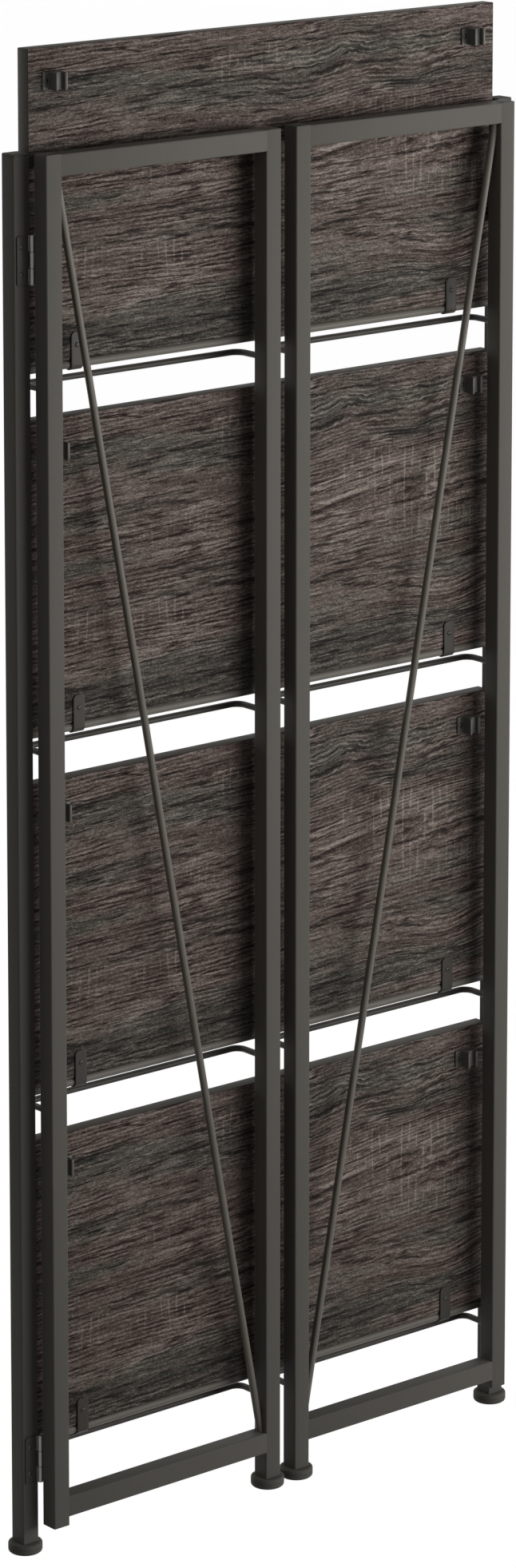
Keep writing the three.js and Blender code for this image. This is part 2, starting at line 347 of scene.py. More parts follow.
@dataclass(frozen=True)
class Coat(Finish):
    """A dull coat or moulding: fine grain in its colour, sheen and surface.

    Attributes:
        name: The material's name.
        colour: The coat's colour.
        roughness: Its mean roughness.
        mottle: How far the colour varies, as a share.
        grain: Specks per metre.
        relief: Height of the surface's grain.
        specular: The shader's specular level.
        metallic: How metallic it is.
        dust: How much paler the upward faces are, as a share.
        clouds: Soft clouds per metre along X, Y and Z.
        rubs: Rubbed patches per metre along X, Y and Z.
        rubbed: Levels of the noise between which a rubbed patch starts.
        upward: The facings, as a share of straight up, between which a face gets paler.
        sheen: How far the grain and the rubs change the roughness.
    """

    name: str
    colour: Colour
    roughness: float = 0.5
    mottle: float = 0.12
    grain: float = 900.0
    relief: float = 0.00002
    specular: float = 0.15
    metallic: float = 0.0
    dust: float = 0.06
    clouds: Triple = (14.0, 14.0, 5.0)
    rubs: Triple = (60.0, 60.0, 22.0)
    rubbed: Pair = (0.6, 0.75)
    upward: Pair = (0.5, 1.0)
    sheen: Pair = (0.16, 0.14)

    def shader(self, sheet: NodeSheet) -> Value:
        """Builds the coat's nodes.

        Args:
            sheet: The material's nodes.

        Returns:
            The shader.
        """
        place = sheet.split(sheet.node("ShaderNodeTexCoord", None, None, "Object"))
        fine = sheet.noise([axis * self.grain for axis in place], 3.0, 0.6)
        cloud = sheet.noise([axis * scale for axis, scale in zip(place, self.clouds)], 3.0, 0.55)
        rub = sheet.noise([axis * scale for axis, scale in zip(place, self.rubs)], 4.0, 0.7)
        facing = sheet.split(sheet.node("ShaderNodeNewGeometry", None, None, "Normal"))[2]
        shade = 1.0 + (fine - 0.5) * self.mottle * 2.0 + (cloud - 0.5) * self.mottle
        shade = shade + rub.between(*self.rubbed) * self.mottle * 0.5
        # Faces that point up are made paler by a set share.
        shade = shade + facing.between(*self.upward) * self.dust
        share = (shade - (1 - SHADE_SPREAD)) / (2 * SHADE_SPREAD)
        rough = self.roughness + (fine - 0.5) * self.sheen[0] + (rub - 0.5) * self.sheen[1]
        return sheet.surface(
            sheet.mix(share, *shades(self.colour)),
            rough,
            fine,
            self.relief,
            specular=self.specular,
            metallic=self.metallic,
        )


@dataclass(frozen=True)
class MapPlace:
    """A place on a board's own map, in metres, as node values.

    Attributes:
        sheet: The material's nodes.
        along: Along the board.
        up: Across the grain.
    """

    sheet: NodeSheet
    along: Value
    up: Value

    @classmethod
    def of(cls, sheet: NodeSheet) -> "MapPlace":
        """Reads the place from the board's map."""
        along, up, _ = sheet.split(sheet.node("ShaderNodeUVMap", {"uv_map": "print"}))
        return cls(sheet, along, up)


@dataclass(frozen=True)
class Streaks:
    """A noise that is stretched along the board.

    Attributes:
        along: Waves per metre along the board.
        across: Waves per metre across the grain.
        seed: The noise's own place on its third axis.
        detail: The noise's detail.
        roughness: How strong the finer detail is.
        amount: How much it counts.
        window: The levels between which its mask rises from 0.
    """

    along: float
    across: float
    seed: float
    detail: float = 2.0
    roughness: float = 0.5
    amount: float = 1.0
    window: Pair = (0.0, 1.0)

    def level(self, place: MapPlace) -> Value:
        """Gives the noise less its mean, mostly within 0.2 of 0."""
        places = (place.along * self.along, place.up * self.across, self.seed)
        return place.sheet.noise(places, self.detail, self.roughness) - 0.5

    def swing(self, place: MapPlace) -> Value:
        """Gives the noise as it counts, about 0."""
        return self.level(place) * self.amount

    def mask(self, place: MapPlace) -> Value:
        """Gives 0 where the noise is low and its amount where it is high."""
        return self.level(place).between(*self.window) * self.amount


@dataclass(frozen=True)
class Spot:
    """A soft oval place in the print.

    Attributes:
        along: Its place along the board.
        up: Its place up the board.
        width: Its half width.
        height: Its half height.
        amount: What it does at its middle.
    """

    along: float
    up: float
    width: float
    height: float
    amount: float

    def share(self, place: MapPlace) -> Value:
        """Gives the amount, fading away from the middle."""
        aside = (place.along - self.along) / self.width
        above = (place.up - self.up) / self.height
        return (aside * aside + above * above).fading() * self.amount


@dataclass(frozen=True)
class Line:
    """One line of the long pale streak, with soft sides and ends.

    Attributes:
        height: Its height at the middle of the board.
        width: Its half width.
        ends: Where it fades in, from and to, and where it fades out, from and to.
        light: How much lighter it is than the grain about it.
    """

    height: float
    width: float
    ends: tuple[float, float, float, float]
    light: float


@dataclass(frozen=True)
class PaleStreak:
    """The print's one long pale streak, with a dark crack under its start.

    Attributes:
        slope: How steeply it rises along the board.
        waver: How far it strays.
        stray: Waves per metre of the noise by which it strays, and its place on the other axes.
        lines: The streak and the crack.
    """

    slope: float = 0.156
    waver: float = 0.004
    stray: Triple = (45.0, 3.1, 7.3)
    lines: tuple[Line, ...] = (
        Line(0.1576, 0.0016, (0.045, 0.075, 0.185, 0.215), 0.42),
        Line(0.1524, 0.0020, (0.050, 0.070, 0.105, 0.140), -0.55),
    )

    def add_to(self, light: Value, place: MapPlace) -> Value:
        """Adds the streak and its crack to the print's lightness.

        Args:
            light: The lightness without them.
            place: The place on the board.

        Returns:
            The lightness with them.
        """
        along, (scale, *seeds) = place.along, self.stray
        stray = place.sheet.noise((along * scale, *seeds)) - 0.5
        off = place.up - along * self.slope + stray * self.waver
        for line in self.lines:
            fade_in, fade_out = along.between(*line.ends[:2]), along.between(*line.ends[2:])
            aside = (off - line.height) / line.width
            light = light + (aside * aside).fading() * fade_in * (1.0 - fade_out) * line.light
        return light


@dataclass(frozen=True)
class OakPrint(Finish):
    """A charcoal rough-sawn oak print on board, read from the piece's own map in metres.

    Attributes:
        name: The material's name.
        cool: Ramp colours of the grey-green bands, from dark to light.
        warm: Ramp colours of the mauve-brown bands, from dark to light.
        stops: The ramps' places of these colours.
        bands: The bands' noise.
        warm_top: Heights between which the bands get warmer, and by how much.
        wander: The grain's long bends.
        ripple: Its short bends.
        jitter: Its finest bends.
        curls_up: Heights between which the curls near the top start.
        curls_along: Places along the board between which they start.
        curling: How much further the short and the finest bends go in them.
        mean: The grain's mean lightness.
        tone: Soft light and dark along the grain.
        lines: The grain's lines.
        threads: The finest lines.
        speck: Specks that don't follow the grain.
        blots: Clouds that don't follow it either.
        seam: The noise whose level lines are a ridge and a groove.
        seam_lines: The level of each of the two, and how much lighter it is.
        seam_steepness: How sharply they stand out.
        pore: Dark pores.
        calm: Where the fine parallel rows show.
        saw_stray: How the saw marks stray.
        saw_lengths: Where each saw mark starts and ends.
        saw_spread: Where saw marks show outside their patches.
        arches: Where the grain swells, and how far it is pushed.
        saw_patches: Where the saw marks are, and how plain.
        streak: The long pale streak.
        tilt: Slope of the grain along the board.
        row_pitch: Distance between two of the fine parallel rows.
        saw_pitch: Distance between two saw marks.
        saw_width: A saw mark's half width.
        saw_light: How much lighter a saw mark is.
        sheen: The roughness, and how much of it the lightest grain lacks.
        relief: Depth of the board's texture.
        specular: The shader's specular level.
    """

    name: str = "oak_print"
    cool: tuple[Colour, ...] = (
        screen_colour(28, 26, 23),
        screen_colour(66, 63, 57),
        screen_colour(96, 91, 84),
        screen_colour(150, 142, 132),
    )
    warm: tuple[Colour, ...] = (
        screen_colour(36, 29, 27),
        screen_colour(86, 72, 66),
        screen_colour(117, 103, 96),
        screen_colour(166, 153, 145),
    )
    stops: tuple[float, ...] = (0.0, 0.36, 0.62, 1.0)
    bands: Streaks = Streaks(2.0, 21.0, 1.3, 3.0, 0.55, window=(-0.09, 0.075))
    warm_top: Triple = (0.215, 0.255, 0.09)
    wander: Streaks = Streaks(2.4, 6.0, 3.7, amount=0.015)
    ripple: Streaks = Streaks(19.0, 42.0, 9.1, amount=0.0021)
    jitter: Streaks = Streaks(95.0, 170.0, 5.3, amount=0.0023)
    curls_up: Pair = (0.205, 0.245)
    curls_along: Pair = (-0.02, 0.06)
    curling: Pair = (0.0070, 0.0022)
    mean: float = 0.505
    tone: Streaks = Streaks(2.0, 56.0, 5.9, 4.0, 0.62, 0.85)
    lines: Streaks = Streaks(22.0, 350.0, 2.2, 3.0, 0.7, 1.05)
    threads: Streaks = Streaks(150.0, 720.0, 7.7, 2.0, 0.7)
    speck: Streaks = Streaks(420.0, 640.0, 0.8, 1.0, amount=0.8)
    blots: Streaks = Streaks(6.0, 9.0, 0.4, 3.0, 0.6, 0.35)
    seam: Streaks = Streaks(4.0, 78.0, 8.4)
    seam_lines: tuple[Pair, ...] = ((0.014, 0.26), (-0.016, -0.36))
    seam_steepness: float = 60.0
    pore: Streaks = Streaks(28.0, 400.0, 4.6, 1.0, amount=0.46, window=(0.06, 0.18))
    calm: Streaks = Streaks(4.0, 26.0, 7.1, 1.0, amount=0.4, window=(-0.10, 0.04))
    saw_stray: Streaks = Streaks(40.0, 22.0, 2.9, 1.0, amount=0.006)
    saw_lengths: Streaks = Streaks(106.0, 38.0, 6.1, 1.0, window=(-0.06, 0.04))
    saw_spread: Streaks = Streaks(8.0, 13.0, 6.3, 1.0, amount=0.7, window=(0.12, 0.24))
    arches: tuple[Spot, ...] = (
        Spot(0.255, 0.190, 0.130, 0.028, 0.016),
        Spot(0.095, 0.262, 0.022, 0.016, 0.006),
        Spot(0.182, 0.232, 0.024, 0.018, -0.006),
        Spot(0.040, 0.225, 0.050, 0.022, -0.009),
        Spot(-0.155, 0.215, 0.070, 0.030, 0.003),
        Spot(-0.060, 0.070, 0.080, 0.026, -0.003),
        Spot(0.225, 0.060, 0.045, 0.030, -0.010),
    )
    saw_patches: tuple[Spot, ...] = (
        Spot(0.182, 0.188, 0.040, 0.020, 1.7),
        Spot(0.114, 0.194, 0.030, 0.022, 0.9),
        Spot(-0.120, 0.090, 0.050, 0.016, 0.9),
        Spot(-0.100, 0.168, 0.070, 0.012, 0.6),
    )
    streak: PaleStreak = PaleStreak()
    tilt: float = 0.035
    row_pitch: float = 0.0042
    saw_pitch: float = 0.0094
    saw_width: float = 0.0016
    saw_light: float = 0.34
    sheen: Pair = (0.72, 0.2)
    relief: float = 0.00016
    specular: float = 0.18

    def shader(self, sheet: NodeSheet) -> Value:
        """Builds the print's nodes.

        Args:
            sheet: The material's nodes.

        Returns:
            The shader.
        """
        place = MapPlace.of(sheet)
        course = self.grain_course(place)
        bands = self.bands.level(course) + place.up.between(*self.warm_top[:2]) * self.warm_top[2]
        light = self.grain_light(place, course) + self.saw_marks(place)
        cool, warm = (
            sheet.node("ShaderNodeValToRGB", {"stops": tuple(zip(self.stops, ramp))}, {0: light})
            for ramp in (self.cool, self.warm)
        )
        colour = sheet.mix(bands.between(*self.bands.window), cool, warm)
        rough = self.sheen[0] - (light - 0.5) * self.sheen[1]
        return sheet.surface(colour, rough, light, self.relief, specular=self.specular)

    def grain_course(self, place: MapPlace) -> MapPlace:
        """Bends the height up the board so that its levels are the grain's lines.

        Args:
            place: The place on the board.

        Returns:
            The same place with the bent height.
        """
        rise = replace(place, up=place.up - place.along * self.tilt)
        curly = rise.up.between(*self.curls_up) * rise.along.between(*self.curls_along)
        bent = rise.up + self.wander.swing(rise)
        for bends, more in zip((self.ripple, self.jitter), self.curling):
            bent = bent + bends.level(rise) * (bends.amount + curly * more)
        for arch in self.arches:
            bent = bent - arch.share(place)
        return replace(place, up=bent)

    def grain_light(self, place: MapPlace, course: MapPlace) -> Value:
        """Gives the lightness of the grain.

        Args:
            place: The place on the board.
            course: The place in the bent grain.

        Returns:
            The lightness, 0 in the darkest pores and 1 on the lightest ridges.
        """
        light = self.mean + self.speck.swing(place) + self.blots.swing(place)
        for noise in (self.tone, self.lines, self.threads):
            light = light + noise.swing(course)
        half = self.row_pitch / 2
        rows = place.sheet.back_and_forth(course.up + 1.0, half) / half - 0.5
        light = light + rows * self.calm.mask(course)
        seam = self.seam.level(course)
        for level, amount in self.seam_lines:
            near = 1.0 - abs(seam - level) * self.seam_steepness
            light = light + near.between(0.0, 1.0) * amount
        return self.streak.add_to(light, place) - self.pore.mask(course)

    def saw_marks(self, place: MapPlace) -> Value:
        """Gives the short upright marks of a saw, in patches.

        Args:
            place: The place on the board.

        Returns:
            The marks' lightness.
        """
        walk = place.along + self.saw_stray.swing(place)
        comb = place.sheet.back_and_forth(walk, self.saw_pitch / 2)
        teeth = (1.0 - comb / self.saw_width).between(0.0, 0.9)
        shown = self.saw_spread.mask(place)
        for patch in self.saw_patches:
            shown = shown + patch.share(place)
        return teeth * self.saw_lengths.mask(place) * shown.at_most(1.0) * self.saw_light


@dataclass(frozen=True)
class EdgeBand(Finish):
    """The plain band glued along a board's edges, read from the piece's own map in metres.

    Attributes:
        name: The material's name.
        colour: The band's colour.
        streak: How far its colour varies along fine lines, as a share.
        lines: The fine lines.
        cloud: Soft clouds.
        speck: Fine specks.
        sheen: The roughness, and how much of it the lighter specks lack.
        relief: Depth of the lines.
    """

    name: str = "edge_band"
    colour: Colour = screen_colour(96, 93, 86)
    streak: float = 0.5
    lines: Streaks = Streaks(12.0, 900.0, 1.9, 3.0, 0.6, 0.7)
    cloud: Streaks = Streaks(9.0, 60.0, 4.4, 3.0, 0.6, 0.7)
    speck: Streaks = Streaks(700.0, 900.0, 6.2, 1.0, amount=0.4)
    sheen: Pair = (0.62, 0.2)
    relief: float = 0.00004

    def shader(self, sheet: NodeSheet) -> Value:
        """Builds the band's nodes.

        Args:
            sheet: The material's nodes.

        Returns:
            The shader.
        """
        place = MapPlace.of(sheet)
        lines, speck = self.lines.level(place), self.speck.level(place)
        shade = lines * self.lines.amount + speck * self.speck.amount + self.cloud.swing(place)
        colour = sheet.mix(0.5 + shade * self.streak, *shades(self.colour))
        rough = self.sheen[0] - speck * self.sheen[1]
        return sheet.surface(colour, rough, lines, self.relief, strength=0.4)


FRAME_COAT = Coat("frame_coat", screen_colour(111, 108, 102), specular=0.04, dust=0.02)
# The rods carry the frame's own coat; their colour is set paler than it, and that extra paleness is
# a painted highlight.
ROD_COAT_PAINTED_HIGHLIGHT = Coat("rod_coat_painted_highlight", screen_colour(124, 119, 111), roughness=0.42, grain=1100.0)
# The support rods and their weld beads carry the same coat, set much darker: that darkening is
# painted shade.
ROD_COAT_PAINTED_SHADE = Coat("support_rod_coat_painted_shade", screen_colour(74, 71, 66), roughness=0.42, grain=1100.0)
HINGE_COAT = Coat("hinge_coat", screen_colour(84, 80, 75), roughness=0.45, grain=1300.0)
STRAP_COAT = Coat("strap_coat", screen_colour(70, 66, 61), roughness=0.45, grain=1300.0)
# The knuckles' and pin's steel: glossier than the hinge's coat, and paler, which is partly a
# painted highlight.
BARREL_STEEL_PAINTED_HIGHLIGHT = Coat(
    "barrel_steel_painted_highlight",
    screen_colour(140, 137, 130),
    roughness=0.38,
    grain=1500.0,
    specular=0.5,
    metallic=0.5,
)
SCREW_STEEL = Coat(
    "screw_steel", screen_colour(74, 72, 67), roughness=0.36, grain=1600.0, metallic=0.3
)
PLASTIC = Coat(
    "moulded_plastic",
    screen_colour(108, 106, 100),
    roughness=0.6,
    grain=1500.0,
    specular=0.05,
    dust=0.0,
)
CLIP_PLASTIC = Coat(
    "clip_plastic", screen_colour(98, 95, 90), roughness=0.45, grain=1500.0, specular=0.25
)
BOARD_FACE = OakPrint()
BOARD_EDGE = EdgeBand()
# The bevels between the board's faces and edges get a darker band.
BOARD_EDGE_LINE = EdgeBand("dark_edge_line", screen_colour(50, 47, 43))


# Meshes


class Side(Enum):
    """The bookcase's two sides, by the sign of X."""

    LEFT = -1
    RIGHT = 1

    @property
    def label(self) -> str:
        """The side's word in the names of nodes."""
        return self.name.lower()


class Slot(Enum):
    """The record's material slots."""

    FRAME = "frame_coat"
    ROD = "rod"
    HARDWARE = "hardware"
    PLASTIC = "plastic"
    LAMINATE = "laminate"


def arc(middle: Pair, radius: float, start: float, end: float, steps: int) -> Outline:
    """Points on an arc.

    Args:
        middle: The arc's centre.
        radius: Its radius.
        start: Its first angle, in degrees.
        end: Its last angle, in degrees.
        steps: How many pieces it has.

    Returns:
        The points, both ends included.
    """
    angles = (math.radians(start + (end - start) * i / steps) for i in range(steps + 1))
    return [(middle[0] + radius * math.cos(a), middle[1] + radius * math.sin(a)) for a in angles]


def rounded_rectangle(width: float, depth: float, radius: float, steps: int = 8) -> Outline:
    """The outline of a rounded rectangle about the origin.

    Args:
        width: Its size along the first axis.
        depth: Its size along the second axis.
        radius: The corners' radius.
        steps: Pieces in each corner.

    Returns:
        The outline's points.
    """
    points: Outline = []
    for turn, (sx, sy) in enumerate(((1, 1), (-1, 1), (-1, -1), (1, -1))):
        middle = (sx * (width / 2 - radius), sy * (depth / 2 - radius))
        points += arc(middle, radius, 90 * turn, 90 * (turn + 1), steps)
    return points


def circle(radius: float, sides: int) -> Outline:
    """The outline of a circle about the origin."""
    return arc((0.0, 0.0), radius, 0, 360 - 360 / sides, sides - 1)


def axes(origin: Vector, first: Vector, second: Vector, along: Vector) -> Place:
    """Sets a section in space.

    Args:
        origin: The point for 0, 0, 0.
        first: The direction of the section's first axis.
        second: The direction of its second axis.
        along: The direction in which it is drawn out.

    Returns:
        What gives a point in space for a point of the section and a height.
    """
    return lambda a, b, t: origin + first * a + second * b + along * t


def linked(name: str, data: bpy.types.ID) -> bpy.types.Object:
    """Makes an object of its data and links it to the scene."""
    made = bpy.data.objects.new(name, data)
    bpy.context.scene.collection.objects.link(made)
    return made


def mesh_object(
    name: str,
    points: Sequence[Vector],
    edges: Sequence[tuple[int, int]] = (),
    faces: Sequence[Sequence[int]] = (),
) -> bpy.types.Object:
    """Makes an object with a mesh.

    Args:
        name: The object's name.
        points: The mesh's vertices.
        edges: Its edges that have no face.
        faces: Its faces.

    Returns:
        The object, linked to the scene.
    """
    mesh = bpy.data.meshes.new(name)
    mesh.from_pydata([tuple(point) for point in points], edges, faces)
    return linked(name, mesh)


class Shell:
    """The vertices and faces of one piece, gathered until they become an object."""

    def __init__(self) -> None:
        """Starts empty."""
        self.points: list[Vector] = []
        self.faces: list[list[int]] = []

    def loft(self, rings: Sequence[Ring], closed: bool = False) -> "Shell":
        """Joins rings that have the same number of points.

        Args:
            rings: The rings in order.
            closed: Whether the last ring joins the first; otherwise both ends get a face.

        Returns:
            This shell.
        """
        start, count = len(self.points), len(rings[0])
        for ring in rings:
            self.points.extend(ring)
        for i in range(len(rings) if closed else len(rings) - 1):
            low, high = start + i * count, start + (i + 1) % len(rings) * count
            for j in range(count):
                k = (j + 1) % count
                self.faces.append([low + j, low + k, high + k, high + j])
        if not closed:
            last = start + (len(rings) - 1) * count
            self.faces.append([start + j for j in reversed(range(count))])
            self.faces.append([last + j for j in range(count)])
        return self

    def prism(self, outline: Outline, low: float, high: float, place: Place) -> "Shell":
        """Adds an outline that is drawn out straight.

        Args:
            outline: Its points.
            low: Where it starts.
            high: Where it ends.
            place: Gives a point in space for a point of the outline and a height.

        Returns:
            This shell.
        """
        return self.loft([[place(a, b, t) for a, b in outline] for t in (low, high)])

    def turned(self, profile: Outline, sides: int, place: Place) -> "Shell":
        """Adds a turned solid.

        Args:
            profile: Radius and height of each ring, from end to end.
            sides: Its number of sides.
            place: Gives a point in space for a point across the axis and a height.

        Returns:
            This shell.
        """
        return self.loft(
            [[place(a, b, height) for a, b in circle(radius, sides)] for radius, height in profile]
        )

    def object(self, name: str) -> bpy.types.Object:
        """Makes the object, with its faces pointing outwards."""
        made = mesh_object(name, self.points, faces=self.faces)
        tidy_normals(made.data)
        return made


def tidy_normals(mesh: bpy.types.Mesh) -> None:
    """Merges a mesh's doubles and points its faces outwards."""
    work = bmesh.new()
    work.from_mesh(mesh)
    bmesh.ops.remove_doubles(work, verts=work.verts, dist=MERGE)
    bmesh.ops.recalc_face_normals(work, faces=work.faces)
    work.to_mesh(mesh)
    work.free()


def settle(piece: bpy.types.Object) -> None:
    """Turns an object with its modifiers into a plain mesh."""
    graph = bpy.context.evaluated_depsgraph_get()
    graph.update()
    mesh = bpy.data.meshes.new_from_object(piece.evaluated_get(graph))
    piece.modifiers.clear()
    piece.data = mesh


def carve(piece: bpy.types.Object, tool: bpy.types.Object, way: str, tangled: bool = False) -> None:
    """Cuts a piece with another one, which is used up.

    Args:
        piece: The piece.
        tool: What cuts it.
        way: DIFFERENCE takes the tool away, INTERSECT keeps what is inside it.
        tangled: Whether the tool runs through itself.
    """
    cut = piece.modifiers.new("cut", "BOOLEAN")
    cut.object = tool
    cut.operation = way
    cut.solver = "EXACT"
    cut.use_self = tangled
    settle(piece)
    bpy.data.objects.remove(tool)


def soften(piece: bpy.types.Object, width: float, steps: int = 2, angle: float = 35.0) -> None:
    """Bevels the sharp edges of a piece and smooths its shading.

    Args:
        piece: The piece.
        width: The bevel's width, or 0 for none.
        steps: Its segments.
        angle: Edges sharper than this, in degrees, are bevelled and shaded sharp.
    """
    if width:
        bevel = piece.modifiers.new("edges", "BEVEL")
        bevel.width = width
        bevel.segments = steps
        bevel.limit_method = "ANGLE"
        bevel.angle_limit = math.radians(angle)
        settle(piece)
    piece.data.shade_smooth()
    piece.data.set_sharp_from_angle(angle=math.radians(angle))


def dress(
    piece: bpy.types.Object, body: str, slot: Slot, finish: Finish, nodes: Sequence[str] = ()
) -> None:
    """Gives a piece its finish and its body.

    Args:
        piece: The piece, in place.
        body: The body it rides on.
        slot: The record's slot; not used.
        finish: Its finish.
        nodes: The CAD nodes that it stands for.
    """
    piece.data.materials.clear()
    piece.data.materials.append(finish.material())
    if nodes:
        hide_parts(*nodes)
    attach(piece, body)
    LOG.info("%s rides on %s, %d faces", piece.name, body, len(piece.data.polygons))


# Repeated pieces, made by Geometry Nodes


class GrowTree(NodeSheet):
    """A Geometry Nodes tree with named inputs, run on a mesh of points or paths."""

    def __init__(self, name: str, inputs: Mapping[str, str]) -> None:
        """Makes the tree and its inputs.

        Args:
            name: The tree's name.
            inputs: The kind of socket of each input besides the geometry and its material.
        """
        tree = bpy.data.node_groups.new(name, "GeometryNodeTree")
        super().__init__(tree)
        for label, kind in {"Geometry": "Geometry", **inputs, "Material": "Material"}.items():
            tree.interface.new_socket(label, in_out="INPUT", socket_type=f"NodeSocket{kind}")
        tree.interface.new_socket("Geometry", in_out="OUTPUT", socket_type="NodeSocketGeometry")
        self.given = tree.nodes.new("NodeGroupInput")

    def input(self, label: str) -> Value:
        """Gives one of the tree's inputs."""
        return Value(self, self.given.outputs[label])

    def result(self, geometry: Value) -> None:
        """Realizes the instances, sets the material and ends the tree."""
        real = self.node("GeometryNodeRealizeInstances", None, {0: geometry})
        inputs = {"Geometry": real, "Material": self.input("Material")}
        done = self.node("GeometryNodeSetMaterial", None, inputs)
        self.node("NodeGroupOutput", None, {0: done})

    def run(self, seeds: bpy.types.Object, values: Mapping[str, object]) -> None:
        """Grows the tree on an object and leaves the result as a plain mesh.

        Args:
            seeds: The object whose mesh holds the points or paths.
            values: Each input's value.
        """
        modifier = seeds.modifiers.new("grow", "NODES")
        modifier.node_group = self.tree
        for item in self.tree.interface.items_tree:
            if item.in_out == "INPUT" and item.name in values:
                modifier[item.identifier] = values[item.name]
        seeds.data.update()
        settle(seeds)
        tidy_normals(seeds.data)
        soften(seeds, 0.0)


class StudTree(GrowTree):
    """Sets a small item on each vertex, turned to the vertex's facing and by its own turn."""

    def __init__(self) -> None:
        """Builds the tree."""
        super().__init__("studs", {"Item": "Object", "Size": "Float"})
        item = self.node("GeometryNodeObjectInfo", None, {"Object": self.input("Item")}, "Geometry")
        facing, turn = (
            self.node("GeometryNodeInputNamedAttribute", {"data_type": kind}, {"Name": name})
            for name, kind in STUD_ATTRIBUTES.items()
        )
        aim = self.node("FunctionNodeAlignRotationToVector", {"axis": "Z"}, {"Vector": facing})
        spin = self.node("FunctionNodeAxisAngleToRotation", None, {"Axis": Z, "Angle": turn})
        aimed = self.node(
            "FunctionNodeRotateRotation",
            {"rotation_space": "LOCAL"},
            {"Rotation": aim, "Rotate By": spin},
        )
        size = self.node("ShaderNodeCombineXYZ", None, {i: self.input("Size") for i in range(3)})
        studs = self.node(
            "GeometryNodeInstanceOnPoints",
            None,
            {"Points": self.input("Geometry"), "Instance": item, "Rotation": aimed, "Scale": size},
        )
        self.result(studs)


class RodTree(GrowTree):
    """Draws a round rod along each path of edges, with round bends at the corners."""

    def __init__(self) -> None:
        """Builds the tree."""
        super().__init__(
            "bent_rods", {"Radius": "Float", "Bend": "Float", "Bend Steps": "Int", "Sides": "Int"}
        )
        path = self.node("GeometryNodeMeshToCurve", None, {0: self.input("Geometry")})
        bent = self.node(
            "GeometryNodeFilletCurve",
            {"mode": "POLY"},
            {"Curve": path, "Count": self.input("Bend Steps"), "Radius": self.input("Bend")},
        )
        section = self.node(
            "GeometryNodeCurvePrimitiveCircle",
            None,
            {"Resolution": self.input("Sides"), "Radius": self.input("Radius")},
        )
        rod = self.node(
            "GeometryNodeCurveToMesh",
            None,
            {"Curve": bent, "Profile Curve": section, "Fill Caps": True},
        )
        self.result(rod)


@dataclass
class StudBatch:
    """Small items of one kind, gathered body by body and made in one go for each body.

    Attributes:
        kind: The word that ends the pieces' names.
        item: The item's object, made at the origin along +Z.
        size: Scale of the item.
        slot: The record's slot.
        finish: The items' finish.
        places: For each body, each item's place, facing and turn.
    """

    kind: str
    item: bpy.types.Object
    size: float
    slot: Slot
    finish: Finish
    places: dict[str, list[tuple[Vector, Vector, float]]] = field(default_factory=dict)

    def add(self, body: str, place: Vector, facing: Vector, turn: float) -> None:
        """Notes one item."""
        self.places.setdefault(body, []).append((place, facing, turn))

    def build(self, tree: StudTree) -> None:
        """Makes one piece for each body and drops the item.

        Args:
            tree: The tree that sets the items.
        """
        for body, spots in self.places.items():
            seeds = mesh_object(f"{body}_{self.kind}", [place for place, _, _ in spots])
            kept = seeds.data.attributes
            for name, kind in STUD_ATTRIBUTES.items():
                kept.new(name, kind, "POINT")
            for i, (_, facing, turn) in enumerate(spots):
                kept["facing"].data[i].vector = facing
                kept["turn"].data[i].value = turn
            inputs = {"Item": self.item, "Size": self.size, "Material": self.finish.material()}
            tree.run(seeds, inputs)
            dress(seeds, body, self.slot, self.finish)
        bpy.data.objects.remove(self.item)


@dataclass
class ScrewHead:
    """An oval screw head with a cross recess, along +Z from the origin.

    Attributes:
        radius: The head's radius.
        height: How far its dome rises over its rim.
        rim: Height of the rim.
        sunk: How far the head goes into the face it sits on.
        foot: Its narrower radius there, as a share.
        core: Radius of the ring that closes its underside.
        dome: The dome's rings, in degrees up from the rim.
        slot_width: Width of the cross's arms.
        slot_reach: Length of an arm from the middle.
        slot_floor: Height of the cross's floor, as a share of the head's.
        sides: The head's number of sides.
    """

    radius: float = 0.0026
    height: float = 0.0009
    rim: float = 0.00015
    sunk: float = 0.0004
    foot: float = 0.92
    core: float = 0.0004
    dome: tuple[float, ...] = (0, 25, 50, 75)
    slot_width: float = 0.0005
    slot_reach: float = 0.0015
    slot_floor: float = 0.35
    sides: int = 24

    def object(self) -> bpy.types.Object:
        """Makes the head with its recess.

        Returns:
            The head's object.
        """
        place = axes(ORIGIN, X, Y, Z)
        profile = [(self.core, -self.sunk), (self.radius * self.foot, -self.sunk)]
        profile.append((self.radius, 0.0))
        for angle in map(math.radians, self.dome):
            level = self.rim + self.height * math.sin(angle)
            profile.append((self.radius * math.cos(angle), level))
        head = Shell().turned(profile, self.sides, place).object("screw_head")
        cross = Shell()
        low, high = self.height * self.slot_floor, self.height * 2
        wide, long = self.slot_width / 2, self.slot_reach
        for a, b in ((long, wide), (wide, long)):
            cross.prism([(a, b), (-a, b), (-a, -b), (a, -b)], low, high, place)
        carve(head, cross.object("screw_cross"), "DIFFERENCE", tangled=True)
        return head


@dataclass
class WeldBead:
    """A low bead of weld round a rod of radius 1, along +Z from the face it stands on.

    Attributes:
        section: Radius and height of the points of its section.
        steps: Sections round the rod.
        swells: Amount and pace of the waves in its size.
    """

    section: Outline = (
        (0.9, 0.0),
        (1.42, 0.0),
        (1.36, 0.16),
        (1.2, 0.34),
        (1.0, 0.55),
        (0.9, 0.55),
    )
    steps: int = 28
    swells: Outline = ((0.05, 2.3), (0.03, 4.1))

    def object(self) -> bpy.types.Object:
        """Makes the bead.

        Returns:
            The bead's object.
        """
        rings = []
        for step in range(self.steps):
            angle = 2 * math.pi * step / self.steps
            swell = 1 + sum(amount * math.sin(step * pace) for amount, pace in self.swells)
            ring = []
            for radius, height in self.section:
                reach = radius if radius <= 1.0 else 1.0 + (radius - 1.0) * swell
                point = (reach * math.cos(angle), reach * math.sin(angle), height * swell)
                ring.append(Vector(point))
            rings.append(ring)
        return Shell().loft(rings, closed=True).object("weld_bead")


# The bookcase


